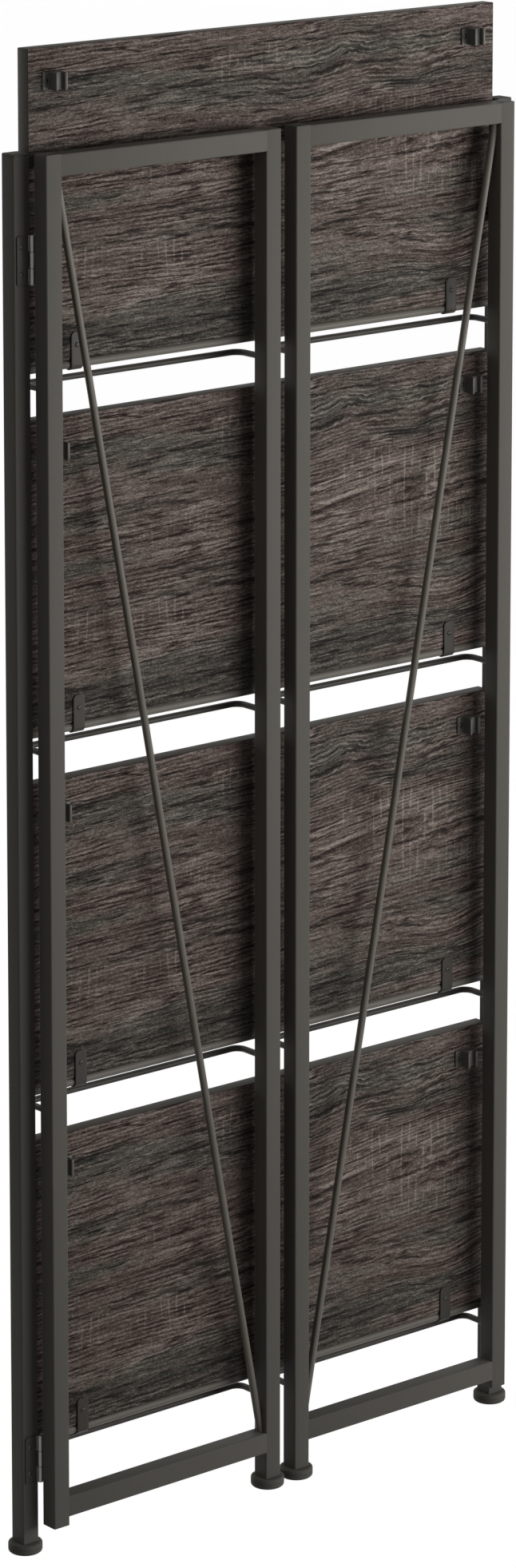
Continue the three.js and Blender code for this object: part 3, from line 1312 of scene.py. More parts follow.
@dataclass(frozen=True)
class Sizes:
    """Sizes that the sub-assemblies share.

    Attributes:
        width: Over the outer faces of the posts.
        top: Floor to the tops of the frames.
        tube: Side of the square tube.
        wall: The tube's wall.
        corner: The tube's outer corner radius.
        gap: Between the posts' fronts and the folded side frames' backs.
        stile_gap: Between the two free stiles.
        tube_foot: Height of the lower end of a tube that stands on a foot.
        rods: Height of each hinge rod's axis, from the top shelf down.
        hinges: Height of each butt hinge's middle.
    """

    width: float = 0.600
    top: float = 1.310
    tube: float = 0.018
    wall: float = 0.0012
    corner: float = 0.0015
    gap: float = 0.006
    stile_gap: float = 0.018
    tube_foot: float = 0.0101
    rods: tuple[float, ...] = (1.112, 0.776, 0.440, 0.104)
    hinges: tuple[tuple[str, float], ...] = (("upper", 1.214), ("lower", 0.091))

    @property
    def pin_x(self) -> float:
        """The butt hinge's distance from the middle plane."""
        return self.width / 2 - self.tube

    @property
    def side_width(self) -> float:
        """The width of one side frame."""
        return self.pin_x - self.stile_gap / 2

    @property
    def side_y(self) -> float:
        """The middle of the folded side frames' tubes."""
        return -self.gap - self.tube / 2

    def pins(self, side: Side) -> list[tuple[str, Vector]]:
        """Gives the middle of each butt hinge on a side, on its pin's axis."""
        x, y = side.value * self.pin_x, -self.gap / 2
        return [(label, Vector((x, y, height))) for label, height in self.hinges]


@dataclass
class Tube:
    """A length of rounded square tube.

    Attributes:
        sizes: Wall and corner.
        depth: Size across its second axis.
        closed_top: Whether a plate closes its far end.
        bevel: Width of the bevel round its ends.
    """

    sizes: Sizes
    depth: float
    closed_top: bool = False
    bevel: float = 0.0003

    def object(self, name: str, low: float, high: float, place: Place) -> bpy.types.Object:
        """Makes the tube.

        Args:
            name: The piece's name.
            low: Where it starts along its axis.
            high: Where it ends.
            place: Gives a point in space for a point across the tube and a height.

        Returns:
            The tube, edges softened.
        """
        width, wall, corner = self.sizes.tube, self.sizes.wall, self.sizes.corner
        outer = rounded_rectangle(width, self.depth, corner)
        inner = rounded_rectangle(width - 2 * wall, self.depth - 2 * wall, corner - wall)
        inner_end = high - wall if self.closed_top else high
        stations = [(inner, inner_end), (inner, low), (outer, low), (outer, high)]
        rings = [[place(a, b, t) for a, b in outline] for outline, t in stations]
        made = Shell().loft(rings, closed=not self.closed_top).object(name)
        soften(made, self.bevel)
        return made


@dataclass
class Foot:
    """A round plastic foot with a chamfered rim and a shallow groove.

    Attributes:
        radius: Radius of the disc.
        rim: From the floor up, how far each ring lies in from the rim, and its height.
        stem: Radius and height of the rings of the stem in the tube.
        sides: Its number of sides.
        crease: Edges sharper than this, in degrees, are shaded sharp.
    """

    radius: float = 0.016
    rim: Outline = (
        (0.0032, 0.0),
        (0.0016, 0.0003),
        (0.0005, 0.0012),
        (0.0, 0.0024),
        (0.0, 0.0052),
        (0.0004, 0.0054),
        (0.0004, 0.0058),
        (0.0, 0.0060),
        (0.0, 0.0082),
        (0.0004, 0.0092),
        (0.0014, 0.0099),
        (0.0024, 0.0100),
    )
    stem: Outline = ((0.0072, 0.010), (0.0072, 0.021), (0.0062, 0.022))
    sides: int = 64
    crease: float = 42.0

    def build(self, side: Side, end: str, body: str, x: float, y: float) -> None:
        """Builds and dresses the foot on the floor.

        Args:
            side: The foot's side.
            end: Whether it is a front or a rear foot.
            body: The body it rides on.
            x: Its middle along X.
            y: Its middle along Y.
        """
        profile = [(self.radius - inset, height) for inset, height in self.rim] + list(self.stem)
        place = axes(Vector((x, y, 0.0)), X, Y, Z)
        made = Shell().turned(profile, self.sides, place).object(f"{side.label}_{end}_disc")
        soften(made, 0.0, angle=self.crease)
        dress(made, body, Slot.PLASTIC, PLASTIC, [f"{side.label}_{end}_foot"])


@dataclass
class PostCap:
    """A low domed plate on a post's top, with its plug in the tube.

    Attributes:
        thickness: The plate's thickness.
        play: Between the plug and the tube's inner faces, both sides together.
        plug: How much narrower each of the plug's sections is than the plug, its height over
            the plate's underside and its corner radius.
        plate: How much narrower each of the plate's sections is than the tube, and its height.
        crease: Edges sharper than this, in degrees, are shaded sharp.
    """

    thickness: float = 0.002
    play: float = 0.0006
    plug: tuple[Triple, ...] = ((0.002, -0.010, 0.0006), (0.0, -0.009, 0.001), (0.0, 0.0, 0.001))
    plate: Outline = ((0.0, 0.0), (0.0, 0.0011), (0.0004, 0.0016), (0.0016, 0.0019), (0.006, 0.002))
    crease: float = 50.0

    def object(self, name: str, sizes: Sizes, x: float) -> bpy.types.Object:
        """Makes the cap on a post.

        Args:
            name: The piece's name.
            sizes: The shared sizes.
            x: The post's middle along X.

        Returns:
            The cap.
        """
        full, inside = sizes.tube, sizes.tube - 2 * sizes.wall - self.play
        stations = [(inside - less, height, corner) for less, height, corner in self.plug]
        stations += [(full - less, height, sizes.corner) for less, height in self.plate]
        place = axes(Vector((x, sizes.tube / 2, sizes.top - self.thickness)), X, Y, Z)
        rings = [
            [place(a, b, height) for a, b in rounded_rectangle(side, side, corner)]
            for side, height, corner in stations
        ]
        made = Shell().loft(rings).object(name)
        soften(made, 0.0, angle=self.crease)
        return made


@dataclass
class Leaf:
    """One leaf of a butt hinge: its plate, and its knuckles about the pin.

    Attributes:
        node: The CAD node that it stands for.
        body: The body it rides on.
        pin: The hinge's middle on the pin's axis.
        way: The direction along X in which the plate runs.
        face: The side of the pin along Y on which the plate lies.
        outer: Whether it has the pin and the two outer knuckles, or the middle one.
        turns: The turns of its lower and its upper screw.
        slot_at: Height over the hinge's middle of a rod's leg that the plate has a slot for.
        height: Height of the plate.
        reach: From the pin's axis to the plate's far edge.
        near: From the pin's axis to the plate's near face.
        far: From the pin's axis to its far face.
        knuckle: The knuckles' radius.
        lap: From the knuckles to the plate's near edge, which the knuckles' strips overlap.
        play: Between two knuckles.
        chamfer: The chamfer of the knuckles' ends.
        corner: Radius of the plate's far corners.
        slot_radius: Half the slot's width.
        slot_root: From the pin's axis to the middle of the slot's round end.
        pin_radius: Radius of the pin.
        pin_tip: Radius of the pin's rounded ends.
        sides: The numbers of sides of a knuckle and of the pin.
        steps: Pieces in each of the plate's corners and in the slot's end.
        bevel: Width of the bevel on the edges.
        spacing: Between the two screws.
        screw_inset: From the plate's far edge to its screws.
    """

    node: str
    body: str
    pin: Vector
    way: int
    face: int
    outer: bool
    turns: Pair
    slot_at: float | None = None
    height: float = 0.045
    reach: float = 0.0155
    near: float = 0.0015
    far: float = 0.0027
    knuckle: float = 0.0026
    lap: float = 0.0004
    play: float = 0.0003
    chamfer: float = 0.0002
    corner: float = 0.0025
    slot_radius: float = 0.0036
    slot_root: float = 0.009
    pin_radius: float = 0.0014
    pin_tip: float = 0.0006
    sides: tuple[int, int] = (28, 20)
    steps: tuple[int, int] = (6, 12)
    bevel: float = 0.0002
    spacing: float = 0.025
    screw_inset: float = 0.0045

    @property
    def outline(self) -> Outline:
        """The plate's outline, from the pin's axis and about the hinge's middle."""
        half, c, start, slot = self.height / 2, self.corner, self.knuckle + self.lap, []
        if self.slot_at is not None:
            low, high = self.slot_at - self.slot_radius, self.slot_at + self.slot_radius
            root = (self.slot_root, self.slot_at)
            bend = arc(root, self.slot_radius, -90, -270, self.steps[1])
            slot = [(self.reach, low), *bend, (self.reach, high)]
        lower = arc((self.reach - c, -half + c), c, -90, 0, self.steps[0])
        upper = arc((self.reach - c, half - c), c, 0, 90, self.steps[0])
        return [(start, -half), *lower, *slot, *upper, (start, half)]

    @property
    def bands(self) -> Outline:
        """Each knuckle's low and high end about the hinge's middle."""
        half, third, play = self.height / 2, self.height / 6, self.play / 2
        if self.outer:
            return [(-half, -third - play), (third + play, half)]
        return [(-third + play, third - play)]

    def build(self, screws: StudBatch) -> None:
        """Builds and dresses the leaf, and notes its screws.

        Args:
            screws: Where its screws are noted.
        """
        flat = axes(self.pin, X * self.way, Z, Y * self.face)
        round_pin = axes(self.pin, X, Y, Z)
        shell = Shell().prism(self.outline, self.near, self.far, flat)
        edge, r, cut = self.knuckle + 2 * self.lap, self.knuckle, self.chamfer
        for low, high in self.bands:
            strip = [(0.0, low), (edge, low), (edge, high), (0.0, high)]
            shell.prism(strip, self.near, self.far, flat)
            profile = [(r - cut, low), (r, low + cut), (r, high - cut), (r - cut, high)]
            shell.turned(profile, self.sides[0], round_pin)
        if self.outer:
            half, end = self.height / 2, self.height / 2 + self.lap
            profile = [(self.pin_tip, -end), (self.pin_radius, -half)]
            profile += [(self.pin_radius, half), (self.pin_tip, end)]
            shell.turned(profile, self.sides[1], round_pin)
        leaf = shell.object(f"{self.node}_plate")
        soften(leaf, self.bevel)
        dress(leaf, self.body, Slot.HARDWARE, HINGE_COAT, [self.node])
        self.bare_barrel(leaf)
        for share, turn in zip((-0.5, 0.5), self.turns):
            spot = flat(self.reach - self.screw_inset, share * self.spacing, self.near)
            screws.add(self.body, spot, Y * -self.face, turn)

    def bare_barrel(self, leaf: bpy.types.Object) -> None:
        """Gives the faces of the knuckles and the pin a glossier steel, whose paler colour is
        partly a painted highlight.
        """
        leaf.data.materials.append(BARREL_STEEL_PAINTED_HIGHLIGHT.material())
        for face in leaf.data.polygons:
            away = face.center - self.pin
            face.material_index = int(math.hypot(away.x, away.y) < self.knuckle + self.chamfer / 2)


@dataclass
class BackFrame:
    """The posts with their caps, feet, hinge rods and hinge leaves.

    Attributes:
        sizes: The shared sizes.
        screws: Where its screws are noted.
        beads: Where its weld beads are noted.
        body: The body's name.
        rod_radius: Radius of the hinge rods.
        rod_sides: Their number of sides.
        cap_seat: From the frames' tops down to the posts' tubes.
    """

    sizes: Sizes
    screws: StudBatch
    beads: StudBatch
    body: str = "back_frame"
    rod_radius: float = 0.004
    rod_sides: int = 40
    cap_seat: float = 0.0022

    def build(self) -> None:
        """Builds and dresses all of it."""
        for side in Side:
            self.build_post(side)
            for label, pin in self.sizes.pins(side):
                node = f"{side.label}_{label}_post_leaf"
                Leaf(node, self.body, pin, side.value, 1, True, (-0.15, 1.15)).build(self.screws)
        self.build_rods()

    def build_post(self, side: Side) -> None:
        """Builds a post with its cap and foot.

        Args:
            side: The post's side.
        """
        s, name = self.sizes, f"{side.label}_post"
        x, y = side.value * (s.width - s.tube) / 2, s.tube / 2
        place = axes(Vector((x, y, 0.0)), X, Y, Z)
        post = Tube(s, s.tube).object(f"{name}_tube", s.tube_foot, s.top - self.cap_seat, place)
        dress(post, self.body, Slot.FRAME, FRAME_COAT, [name])
        cap = PostCap().object(f"{name}_cover", s, x)
        dress(cap, self.body, Slot.PLASTIC, PLASTIC, [f"{name}_cap"])
        Foot().build(side, "rear", self.body, x, y)

    def build_rods(self) -> None:
        """Builds the hinge rods with their weld beads."""
        reach, y = self.sizes.pin_x, self.sizes.tube / 2
        profile = [(self.rod_radius, -reach), (self.rod_radius, reach)]
        for level, height in enumerate(self.sizes.rods, 1):
            place = axes(Vector((0.0, y, height)), Y, Z, X)
            rod = Shell().turned(profile, self.rod_sides, place).object(f"hinge_bar_{level}")
            soften(rod, 0.0)
            dress(rod, self.body, Slot.ROD, ROD_COAT_PAINTED_HIGHLIGHT, [f"hinge_rod_{level}"])
            for side in Side:
                spot = Vector((side.value * reach, y, height))
                self.beads.add(self.body, spot, X * -side.value, level * 0.7)


@dataclass
class SideFrame:
    """A side frame: stiles, rails, diagonal and support rods, foot and hinge leaves.

    Attributes:
        sizes: The shared sizes.
        side: Which side it is.
        screws: Where its screws are noted.
        beads: Where its weld beads are noted.
        rods: What draws the support rods.
        rail_height: Height of the rails.
        stile_bottom: Height of the hinge stile's bottom.
        lower_rail: Height of the lower rail's underside.
        diagonal_radius: Radius of the diagonal rod.
        diagonal_sides: Its number of sides.
        overrun: How far it runs on before it is cut to the corners.
        support_radius: Radius of the support rods.
        support_reach: From the stiles' backs to a support rod's axis.
        support_drop: From a hinge rod's axis down to the support rod's.
        support_sides: Their number of sides.
        bend: Radius of their bends.
        bend_steps: Pieces in each bend.
    """

    sizes: Sizes
    side: Side
    screws: StudBatch
    beads: StudBatch
    rods: RodTree
    rail_height: float = 0.020
    stile_bottom: float = 0.028
    lower_rail: float = 0.036
    diagonal_radius: float = 0.0035
    diagonal_sides: int = 40
    overrun: float = 0.02
    support_radius: float = 0.003
    support_reach: float = 0.034
    support_drop: float = 0.016
    support_sides: int = 28
    bend: float = 0.010
    bend_steps: int = 12

    @property
    def body(self) -> str:
        """The body's name."""
        return f"{self.side.label}_side_frame"

    def x(self, inward: float) -> float:
        """Gives the place along X at a distance from the pin towards the middle."""
        return self.side.value * (self.sizes.pin_x - inward)

    def build(self) -> None:
        """Builds and dresses all of it."""
        s = self.sizes
        near, far = s.tube / 2, s.side_width - s.tube / 2
        self.build_stile("hinge_stile", near, self.stile_bottom)
        self.build_stile("free_stile", far, s.tube_foot)
        self.build_rail("top_rail", s.top - self.rail_height)
        self.build_rail("bottom_rail", self.lower_rail)
        Foot().build(self.side, "front", self.body, self.x(far), s.side_y)
        self.build_diagonal()
        self.build_supports(self.x(near), self.x(far))
        self.build_leaves()

    def build_stile(self, label: str, inward: float, bottom: float) -> None:
        """Builds a stile.

        Args:
            label: The node's name without its side.
            inward: Its middle's distance from the pin.
            bottom: Its lower end.
        """
        s, name = self.sizes, f"{self.side.label}_{label}"
        place = axes(Vector((self.x(inward), s.side_y, 0.0)), X, Y, Z)
        stile = Tube(s, s.tube, closed_top=True).object(f"{name}_tube", bottom, s.top, place)
        dress(stile, self.body, Slot.FRAME, FRAME_COAT, [name])

    def build_rail(self, label: str, bottom: float) -> None:
        """Builds a rail between the stiles.

        Args:
            label: The node's name without its side.
            bottom: The height of its underside.
        """
        s, name = self.sizes, f"{self.side.label}_{label}"
        ends = sorted((self.x(s.tube - s.wall), self.x(s.side_width - s.tube + s.wall)))
        place = axes(Vector((0.0, s.side_y, bottom + self.rail_height / 2)), Y, Z, X)
        rail = Tube(s, self.rail_height).object(f"{name}_tube", *ends, place)
        dress(rail, self.body, Slot.FRAME, FRAME_COAT, [name])

    def build_diagonal(self) -> None:
        """Builds the diagonal rod, cut to the corners between stiles and rails."""
        s, name = self.sizes, f"{self.side.label}_diagonal"
        near, far = self.x(s.tube), self.x(s.side_width - s.tube)
        low, high = self.lower_rail + self.rail_height, s.top - self.rail_height
        top, bottom = Vector((near, s.side_y, high)), Vector((far, s.side_y, low))
        way = (top - bottom).normalized()
        ends = (-self.overrun, (top - bottom).length + self.overrun)
        profile = [(self.diagonal_radius, end) for end in ends]
        place = axes(bottom, Y, way.cross(Y), way)
        rod = Shell().turned(profile, self.diagonal_sides, place).object(f"{name}_bar")
        left, right = sorted((near, far))
        corners = [(left, low), (right, low), (right, high), (left, high)]
        front, back = s.side_y - self.overrun, s.side_y + self.overrun
        window = Shell().prism(corners, front, back, axes(ORIGIN, X, Z, Y)).object("window")
        carve(rod, window, "INTERSECT")
        soften(rod, 0.0)
        dress(rod, self.body, Slot.ROD, ROD_COAT_PAINTED_HIGHLIGHT, [f"{name}_rod"])

    def build_supports(self, *legs: float) -> None:
        """Builds the four support rods with their weld beads.

        Args:
            legs: The places along X of a rod's two legs.
        """
        back = -self.sizes.gap
        out = back + self.support_reach
        points: list[Vector] = []
        edges: list[tuple[int, int]] = []
        for level, rod in enumerate(self.sizes.rods, 1):
            z, start = rod - self.support_drop, len(points)
            corners = ((legs[0], back), (legs[0], out), (legs[1], out), (legs[1], back))
            points += [Vector((x, y, z)) for x, y in corners]
            edges += [(start + i, start + i + 1) for i in range(3)]
            for x in legs:
                self.beads.add(self.body, Vector((x, back, z)), Y, level * 0.9)
        bars = mesh_object(f"{self.side.label}_support_bars", points, edges)
        self.rods.run(
            bars,
            {
                "Radius": self.support_radius,
                "Bend": self.bend,
                "Bend Steps": self.bend_steps,
                "Sides": self.support_sides,
                "Material": ROD_COAT_PAINTED_SHADE.material(),
            },
        )
        levels = range(1, len(self.sizes.rods) + 1)
        nodes = [f"{self.side.label}_support_rod_{level}" for level in levels]
        dress(bars, self.body, Slot.ROD, ROD_COAT_PAINTED_SHADE, nodes)

    def build_leaves(self) -> None:
        """Builds the hinge leaves on the hinge stile's back, the lower one with its slot."""
        s, way = self.sizes, -self.side.value
        for label, pin in s.pins(self.side):
            slot_at = s.rods[-1] - self.support_drop - s.hinges[-1][1] if label == "lower" else None
            node = f"{self.side.label}_{label}_frame_leaf"
            Leaf(node, self.body, pin, way, -1, False, (1.3, 0.5), slot_at).build(self.screws)


@dataclass
class Shelf:
    """One shelf board, upright on its rod, with its straps and clips.

    Heights are from the hinge rod's axis, and places along X from the middle plane.

    Attributes:
        sizes: The shared sizes.
        level: The shelf's number, 1 at the top.
        screws: Where its screws are noted.
        length: The board's length.
        depth: Its other side, upright here.
        thickness: Its thickness.
        lift: Height of its lower edge.
        front: Its front face's place along Y, from the axis.
        notch_top: Height of the notches over the straps' curls.
        notch_play: Between a notch's side and the strap.
        board_bevel: Width of the bevel on the board's edges.
        end_map: Where the ends' part of the print's map lies.
        edge_map: From the front's part of the map up to the long edges' part.
        rear_map: From the front's part along to the rear's.
        strap_x: Middle of a strap.
        strap_width: A strap's width.
        strap_top: Height of its top.
        strap_thickness: Its sheet's thickness.
        strap_inner: The curl's inner radius.
        strap_corner: Radius of its upper corners.
        strap_screw: Height of its screw.
        curl: Where the curl starts and ends, in degrees.
        strap_steps: Pieces in the curl, in the flat and in its corners.
        strap_bevel: Width of the bevel on a strap's edges.
        clip_x: Middle of a clip.
        clip_inset: From the board's upper edge to a clip's middle.
        clip_length: A clip's upright length.
        clip_width: Width of its raised part.
        clip_proud: How far it stands out.
        clip_mouth: Width of its channel.
        clip_channel: The channel's depth.
        clip_lip: Chamfer of the channel's lips.
        clip_flange: Width of a flange.
        flange_thickness: A flange's thickness.
        clip_play: Between a clip and the board.
        clip_bevel: Width of the bevel on a clip's edges.
    """

    sizes: Sizes
    level: int
    screws: StudBatch
    length: float = 0.559
    depth: float = 0.286
    thickness: float = 0.015
    lift: float = 0.0043
    front: float = -0.004
    notch_top: float = 0.0058
    notch_play: float = 0.001
    board_bevel: float = 0.0005
    end_map: Pair = (0.9, 0.4)
    edge_map: float = 0.02
    rear_map: float = 2.0
    strap_x: float = 0.2265
    strap_width: float = 0.013
    strap_top: float = 0.030
    strap_thickness: float = 0.0012
    strap_inner: float = 0.0043
    strap_corner: float = 0.0045
    strap_screw: float = 0.018
    curl: Pair = (435, 180)
    strap_steps: tuple[int, int, int] = (40, 4, 8)
    strap_bevel: float = 0.00025
    clip_x: float = 0.251
    clip_inset: float = 0.030
    clip_length: float = 0.016
    clip_width: float = 0.013
    clip_proud: float = 0.013
    clip_mouth: float = 0.007
    clip_channel: float = 0.0046
    clip_lip: float = 0.0008
    clip_flange: float = 0.0065
    flange_thickness: float = 0.0016
    clip_play: float = 0.0003
    clip_bevel: float = 0.0004

    @property
    def body(self) -> str:
        """The body's name."""
        return f"shelf_{self.level}"

    @property
    def axis(self) -> Vector:
        """The hinge rod's axis at the middle plane."""
        return Vector((0.0, self.sizes.tube / 2, self.sizes.rods[self.level - 1]))

    def build(self) -> None:
        """Builds and dresses all of it."""
        self.build_board()
        for side in Side:
            self.build_strap(side)
            self.build_clip(side)

    def build_board(self) -> None:
        """Builds the board, notched over the straps' curls, and maps its print."""
        end, low, high = self.length / 2, self.lift, self.lift + self.depth
        room, notch = self.strap_width / 2 + self.notch_play, self.notch_top
        outline = [(-end, low)]
        for x in (-self.strap_x, self.strap_x):
            outline += [(x - room, low), (x - room, notch), (x + room, notch), (x + room, low)]
        outline += [(end, low), (end, high), (-end, high)]
        back = self.front + self.thickness
        shell = Shell().prism(outline, self.front, back, axes(self.axis, X, Z, Y))
        board = shell.object(f"shelf_panel_{self.level}")
        soften(board, self.board_bevel)
        self.map_print(board.data)
        dress(board, self.body, Slot.LAMINATE, BOARD_FACE, [f"shelf_board_{self.level}"])
        for finish in (BOARD_EDGE, BOARD_EDGE_LINE):
            board.data.materials.append(finish.material())
        for face in board.data.polygons:
            bevelled = max(abs(way) for way in face.normal) <= FLAT
            face.material_index = 2 if bevelled else int(abs(face.normal.y) <= FLAT)

    def map_print(self, mesh: bpy.types.Mesh) -> None:
        """Lays the print over the board in metres, another part of it on each of its faces.

        Args:
            mesh: The board's mesh.
        """
        layer = mesh.uv_layers.new(name="print")
        for face in mesh.polygons:
            normal = face.normal
            for loop in face.loop_indices:
                x, y, z = mesh.vertices[mesh.loops[loop].vertex_index].co - self.axis
                if abs(normal.x) > ASLANT:
                    place = (z + self.end_map[0], y + self.end_map[1])
                elif abs(normal.z) > ASLANT:
                    place = (x, y + self.depth + self.edge_map)
                else:
                    place = (x + self.rear_map if normal.y > 0.0 else x, z)
                layer.data[loop].uv = place

    def strap_track(self) -> list[tuple[float, float, float]]:
        """Runs along a strap's sheet: the curl round the rod, then the flat on the board.

        Returns:
            The middle of the sheet's thickness, along Y and Z from the axis, and the strap's
            half width there.
        """
        middle = self.strap_inner + self.strap_thickness / 2
        wide, corner = self.strap_width / 2, self.strap_corner
        flat, (round_steps, flat_steps, corner_steps) = self.strap_top - corner, self.strap_steps
        track = [(y, z, wide) for y, z in arc((0.0, 0.0), middle, *self.curl, round_steps)]
        track += [(-middle, flat * i / flat_steps, wide) for i in range(1, flat_steps + 1)]
        rounding = arc((wide - corner, flat), corner, 0, 90, corner_steps)[1:]
        return track + [(-middle, z, half) for half, z in rounding]

    def build_strap(self, side: Side) -> None:
        """Builds a strap from its sheet.

        Args:
            side: The strap's side.
        """
        place = self.axis + X * (side.value * self.strap_x)
        track, shares = self.strap_track(), (-1.0, -0.6, -0.2, 0.2, 0.6, 1.0)
        points = [place + Vector((s * half, y, z)) for y, z, half in track for s in shares]
        count = len(shares)
        starts = [i * count + j for i in range(len(track) - 1) for j in range(count - 1)]
        faces = [(i, i + 1, i + count + 1, i + count) for i in starts]
        strap = mesh_object(f"{side.label}_strap_{self.level}", points, faces=faces)
        thick = strap.modifiers.new("sheet", "SOLIDIFY")
        thick.thickness = self.strap_thickness
        thick.offset = 0.0
        settle(strap)
        tidy_normals(strap.data)
        soften(strap, self.strap_bevel)
        nodes = [f"{side.label}_shelf_strap_{self.level}"]
        dress(strap, self.body, Slot.HARDWARE, STRAP_COAT, nodes)
        face = -self.strap_inner - self.strap_thickness
        spot = place + Vector((0.0, face, self.strap_screw))
        self.screws.add(self.body, spot, -Y, 0.4 * self.level + side.value)

    def build_clip(self, side: Side) -> None:
        """Builds a snap clip near the board's free edge.

        Args:
            side: The clip's side.
        """
        wide, mouth, lip = self.clip_width / 2, self.clip_mouth / 2, self.clip_lip
        proud, thin, outer = self.clip_proud, self.flange_thickness, wide + self.clip_flange
        half = [(mouth, proud - self.clip_channel), (mouth, proud - lip), (mouth + lip, proud)]
        half += [(wide, proud), (wide, thin), (outer, thin), (outer, 0.0)]
        outline = half + [(-a, b) for a, b in reversed(half)]
        height = self.lift + self.depth - self.clip_inset
        middle = (side.value * self.clip_x, self.front - self.clip_play, height)
        place = axes(self.axis + Vector(middle), X, -Y, Z)
        shell = Shell().prism(outline, -self.clip_length / 2, self.clip_length / 2, place)
        clip = shell.object(f"{side.label}_clip_{self.level}")
        soften(clip, self.clip_bevel, 3)
        nodes = [f"{side.label}_shelf_clip_{self.level}"]
        dress(clip, self.body, Slot.PLASTIC, CLIP_PLASTIC, nodes)
        for way in (-1, 1):
            spot = place(way * (outer - self.clip_flange / 2), thin, 0.0)
            self.screws.add(self.body, spot, -Y, 0.7 * way + self.level)


# The studio


@dataclass(frozen=True)
class Lamp:
    """A rectangular soft lamp.

    Attributes:
        name: Its name.
        place: Where it hangs.
        target: Where it points.
        size: Its width and height.
        power: Its power in watts.
        spread: The angle over which it shines, in degrees.
    """

    name: str
    place: Triple
    target: Triple
    size: Pair
    power: float
    spread: float = 180.0

    def build(self) -> None:
        """Adds the lamp."""
        data = bpy.data.lights.new(self.name, "AREA")
        data.shape = "RECTANGLE"
        data.size, data.size_y = self.size
        data.spread = math.radians(self.spread)
        data.energy = self.power
        lamp = linked(self.name, data)
        lamp.location = self.place
        way = Vector(self.target) - Vector(self.place)
        lamp.rotation_euler = way.to_track_quat("-Z", "Y").to_euler()


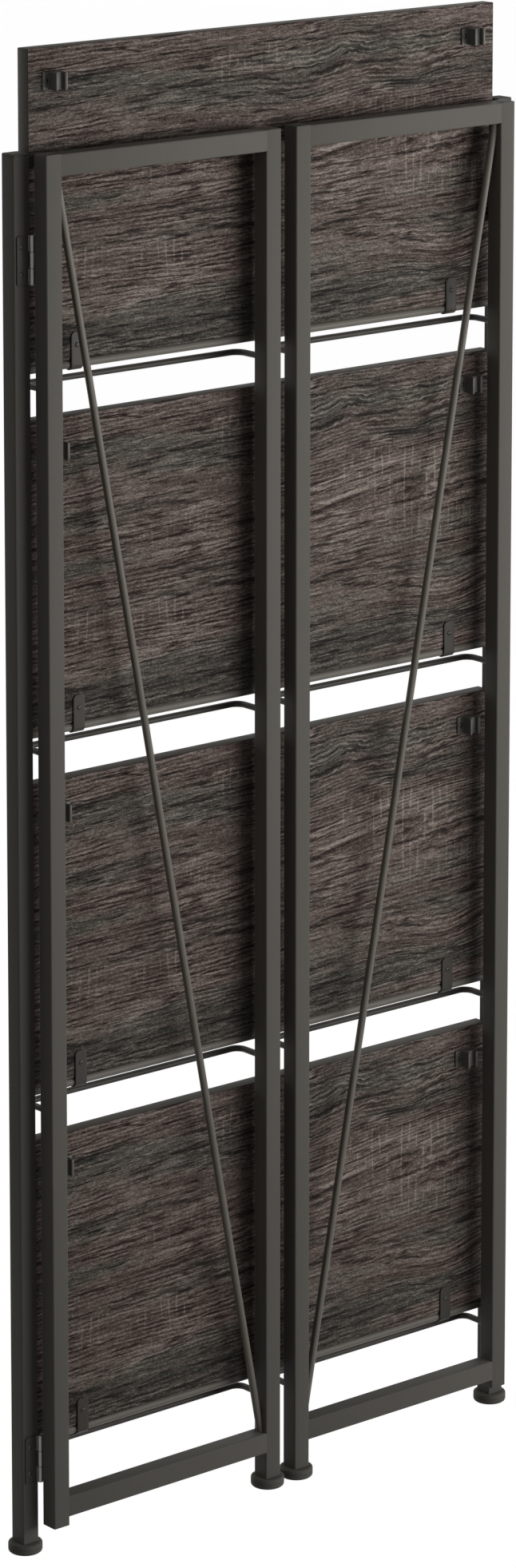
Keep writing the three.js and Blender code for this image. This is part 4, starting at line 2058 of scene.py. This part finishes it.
@dataclass
class Studio:
    """The floor, the lamps, the surroundings and the camera.

    Attributes:
        camera_place: Where the camera stands.
        heading: The camera's turn from +Y towards +X, in degrees.
        pitch: How far it looks down, in degrees.
        sensor: Width of its sensor, in millimetres.
        lens: Its focal length, in millimetres.
        shift: Its vertical shift.
        clip_end: How far it sees.
        lamps: The lamps.
        floor_size: Side of the floor.
        floor_tint: The floor's colour for the light that it throws back.
        floor_glow: How brightly it shows white, as a strength and a share.
        surround: Brightness of the surroundings on the object.
    """

    camera_place: Triple = (-3.1265, -3.7199, 1.9894)
    heading: float = 39.891
    pitch: float = 9.182
    sensor: float = 36.0
    lens: float = 122.17
    shift: float = -0.348
    clip_end: float = 200.0
    lamps: tuple[Lamp, ...] = (
        Lamp("key_lamp", (2.0, -2.7, 0.9), (0.0, 0.0, 2.5), (3.4, 1.4), 57.0, 130.0),
        Lamp("left_lamp", (-3.9, -0.6, 1.2), (0.0, 0.0, 0.9), (1.6, 1.6), 1.2),
        Lamp("back_lamp", (-0.6, 3.6, 1.2), (0.0, 0.0, 0.9), (2.0, 2.0), 30.0),
    )
    floor_size: float = 60.0
    floor_tint: Colour = (0.4, 0.4, 0.4, 1.0)
    floor_glow: Pair = (1.09, 0.9)
    surround: float = 0.1

    def build(self) -> None:
        """Builds all of it."""
        self.add_camera()
        self.add_floor()
        for lamp in self.lamps:
            lamp.build()
        self.add_surroundings()
        bpy.context.scene.view_settings.view_transform = "Standard"

    def add_camera(self) -> None:
        """Adds the camera, left of the front and looking down a little."""
        data = bpy.data.cameras.new("camera")
        data.lens = self.lens
        data.sensor_width = self.sensor
        data.shift_y = self.shift
        data.clip_end = self.clip_end
        camera = linked("camera", data)
        camera.location = self.camera_place
        turn = (math.radians(90.0 - self.pitch), 0.0, -math.radians(self.heading))
        camera.rotation_euler = Euler(turn)
        bpy.context.scene.camera = camera

    def add_floor(self) -> None:
        """Adds a pale floor that shows white and keeps a soft shadow."""
        signs = ((-1, -1), (1, -1), (1, 1), (-1, 1))
        points = [(X * sx + Y * sy) * (self.floor_size / 2) for sx, sy in signs]
        floor = mesh_object("floor", points, faces=[(0, 1, 2, 3)])
        material = bpy.data.materials.new("floor")
        material.use_nodes = True
        sheet = NodeSheet(material.node_tree)
        strength, share = self.floor_glow
        seen = self.seen_rays(sheet)
        tint = sheet.mix(seen, self.floor_tint, WHITE)
        matt = sheet.node("ShaderNodeBsdfDiffuse", None, {"Color": tint})
        glow = sheet.node("ShaderNodeEmission", None, {"Color": WHITE, "Strength": strength})
        shader = sheet.node("ShaderNodeMixShader", None, {0: seen * share, 1: matt, 2: glow})
        sheet.node("ShaderNodeOutputMaterial", None, {"Surface": shader})
        floor.data.materials.append(material)

    @staticmethod
    def seen_rays(sheet: NodeSheet) -> Value:
        """Gives 1 for the rays of the camera, of reflections and of glass."""
        outputs = sheet.node("ShaderNodeLightPath").socket.node.outputs
        names = ("Is Camera Ray", "Is Glossy Ray", "Is Transmission Ray")
        camera, glossy, glass = (Value(sheet, outputs[name]) for name in names)
        return (camera + glossy + glass).at_most(1.0)

    def add_surroundings(self) -> None:
        """Makes the world white where it is seen, and dim where it lights."""
        world = bpy.data.worlds.new("studio")
        world.use_nodes = True
        sheet = NodeSheet(world.node_tree)
        strength = self.seen_rays(sheet) * (1.0 - self.surround) + self.surround
        glow = sheet.node("ShaderNodeBackground", None, {"Color": WHITE, "Strength": strength})
        sheet.node("ShaderNodeOutputWorld", None, {"Surface": glow})
        bpy.context.scene.world = world


def main() -> None:
    """Builds the studio and the bookcase in order."""
    logging.basicConfig(level=logging.INFO, format="%(name)s: %(message)s")
    Studio().build()
    sizes = Sizes()
    screws = StudBatch("screws", ScrewHead().object(), 1.0, Slot.HARDWARE, SCREW_STEEL)
    rod_beads = StudBatch("rod_welds", WeldBead().object(), 0.004, Slot.ROD, ROD_COAT_PAINTED_HIGHLIGHT)
    leg_beads = StudBatch("leg_welds", WeldBead().object(), 0.003, Slot.ROD, ROD_COAT_PAINTED_SHADE)
    BackFrame(sizes, screws, rod_beads).build()
    rods = RodTree()
    for side in Side:
        SideFrame(sizes, side, screws, leg_beads, rods).build()
    for level in range(1, len(sizes.rods) + 1):
        Shelf(sizes, level, screws).build()
    studs = StudTree()
    for batch in (screws, rod_beads, leg_beads):
        batch.build(studs)


if __name__ == "__main__":
    main()
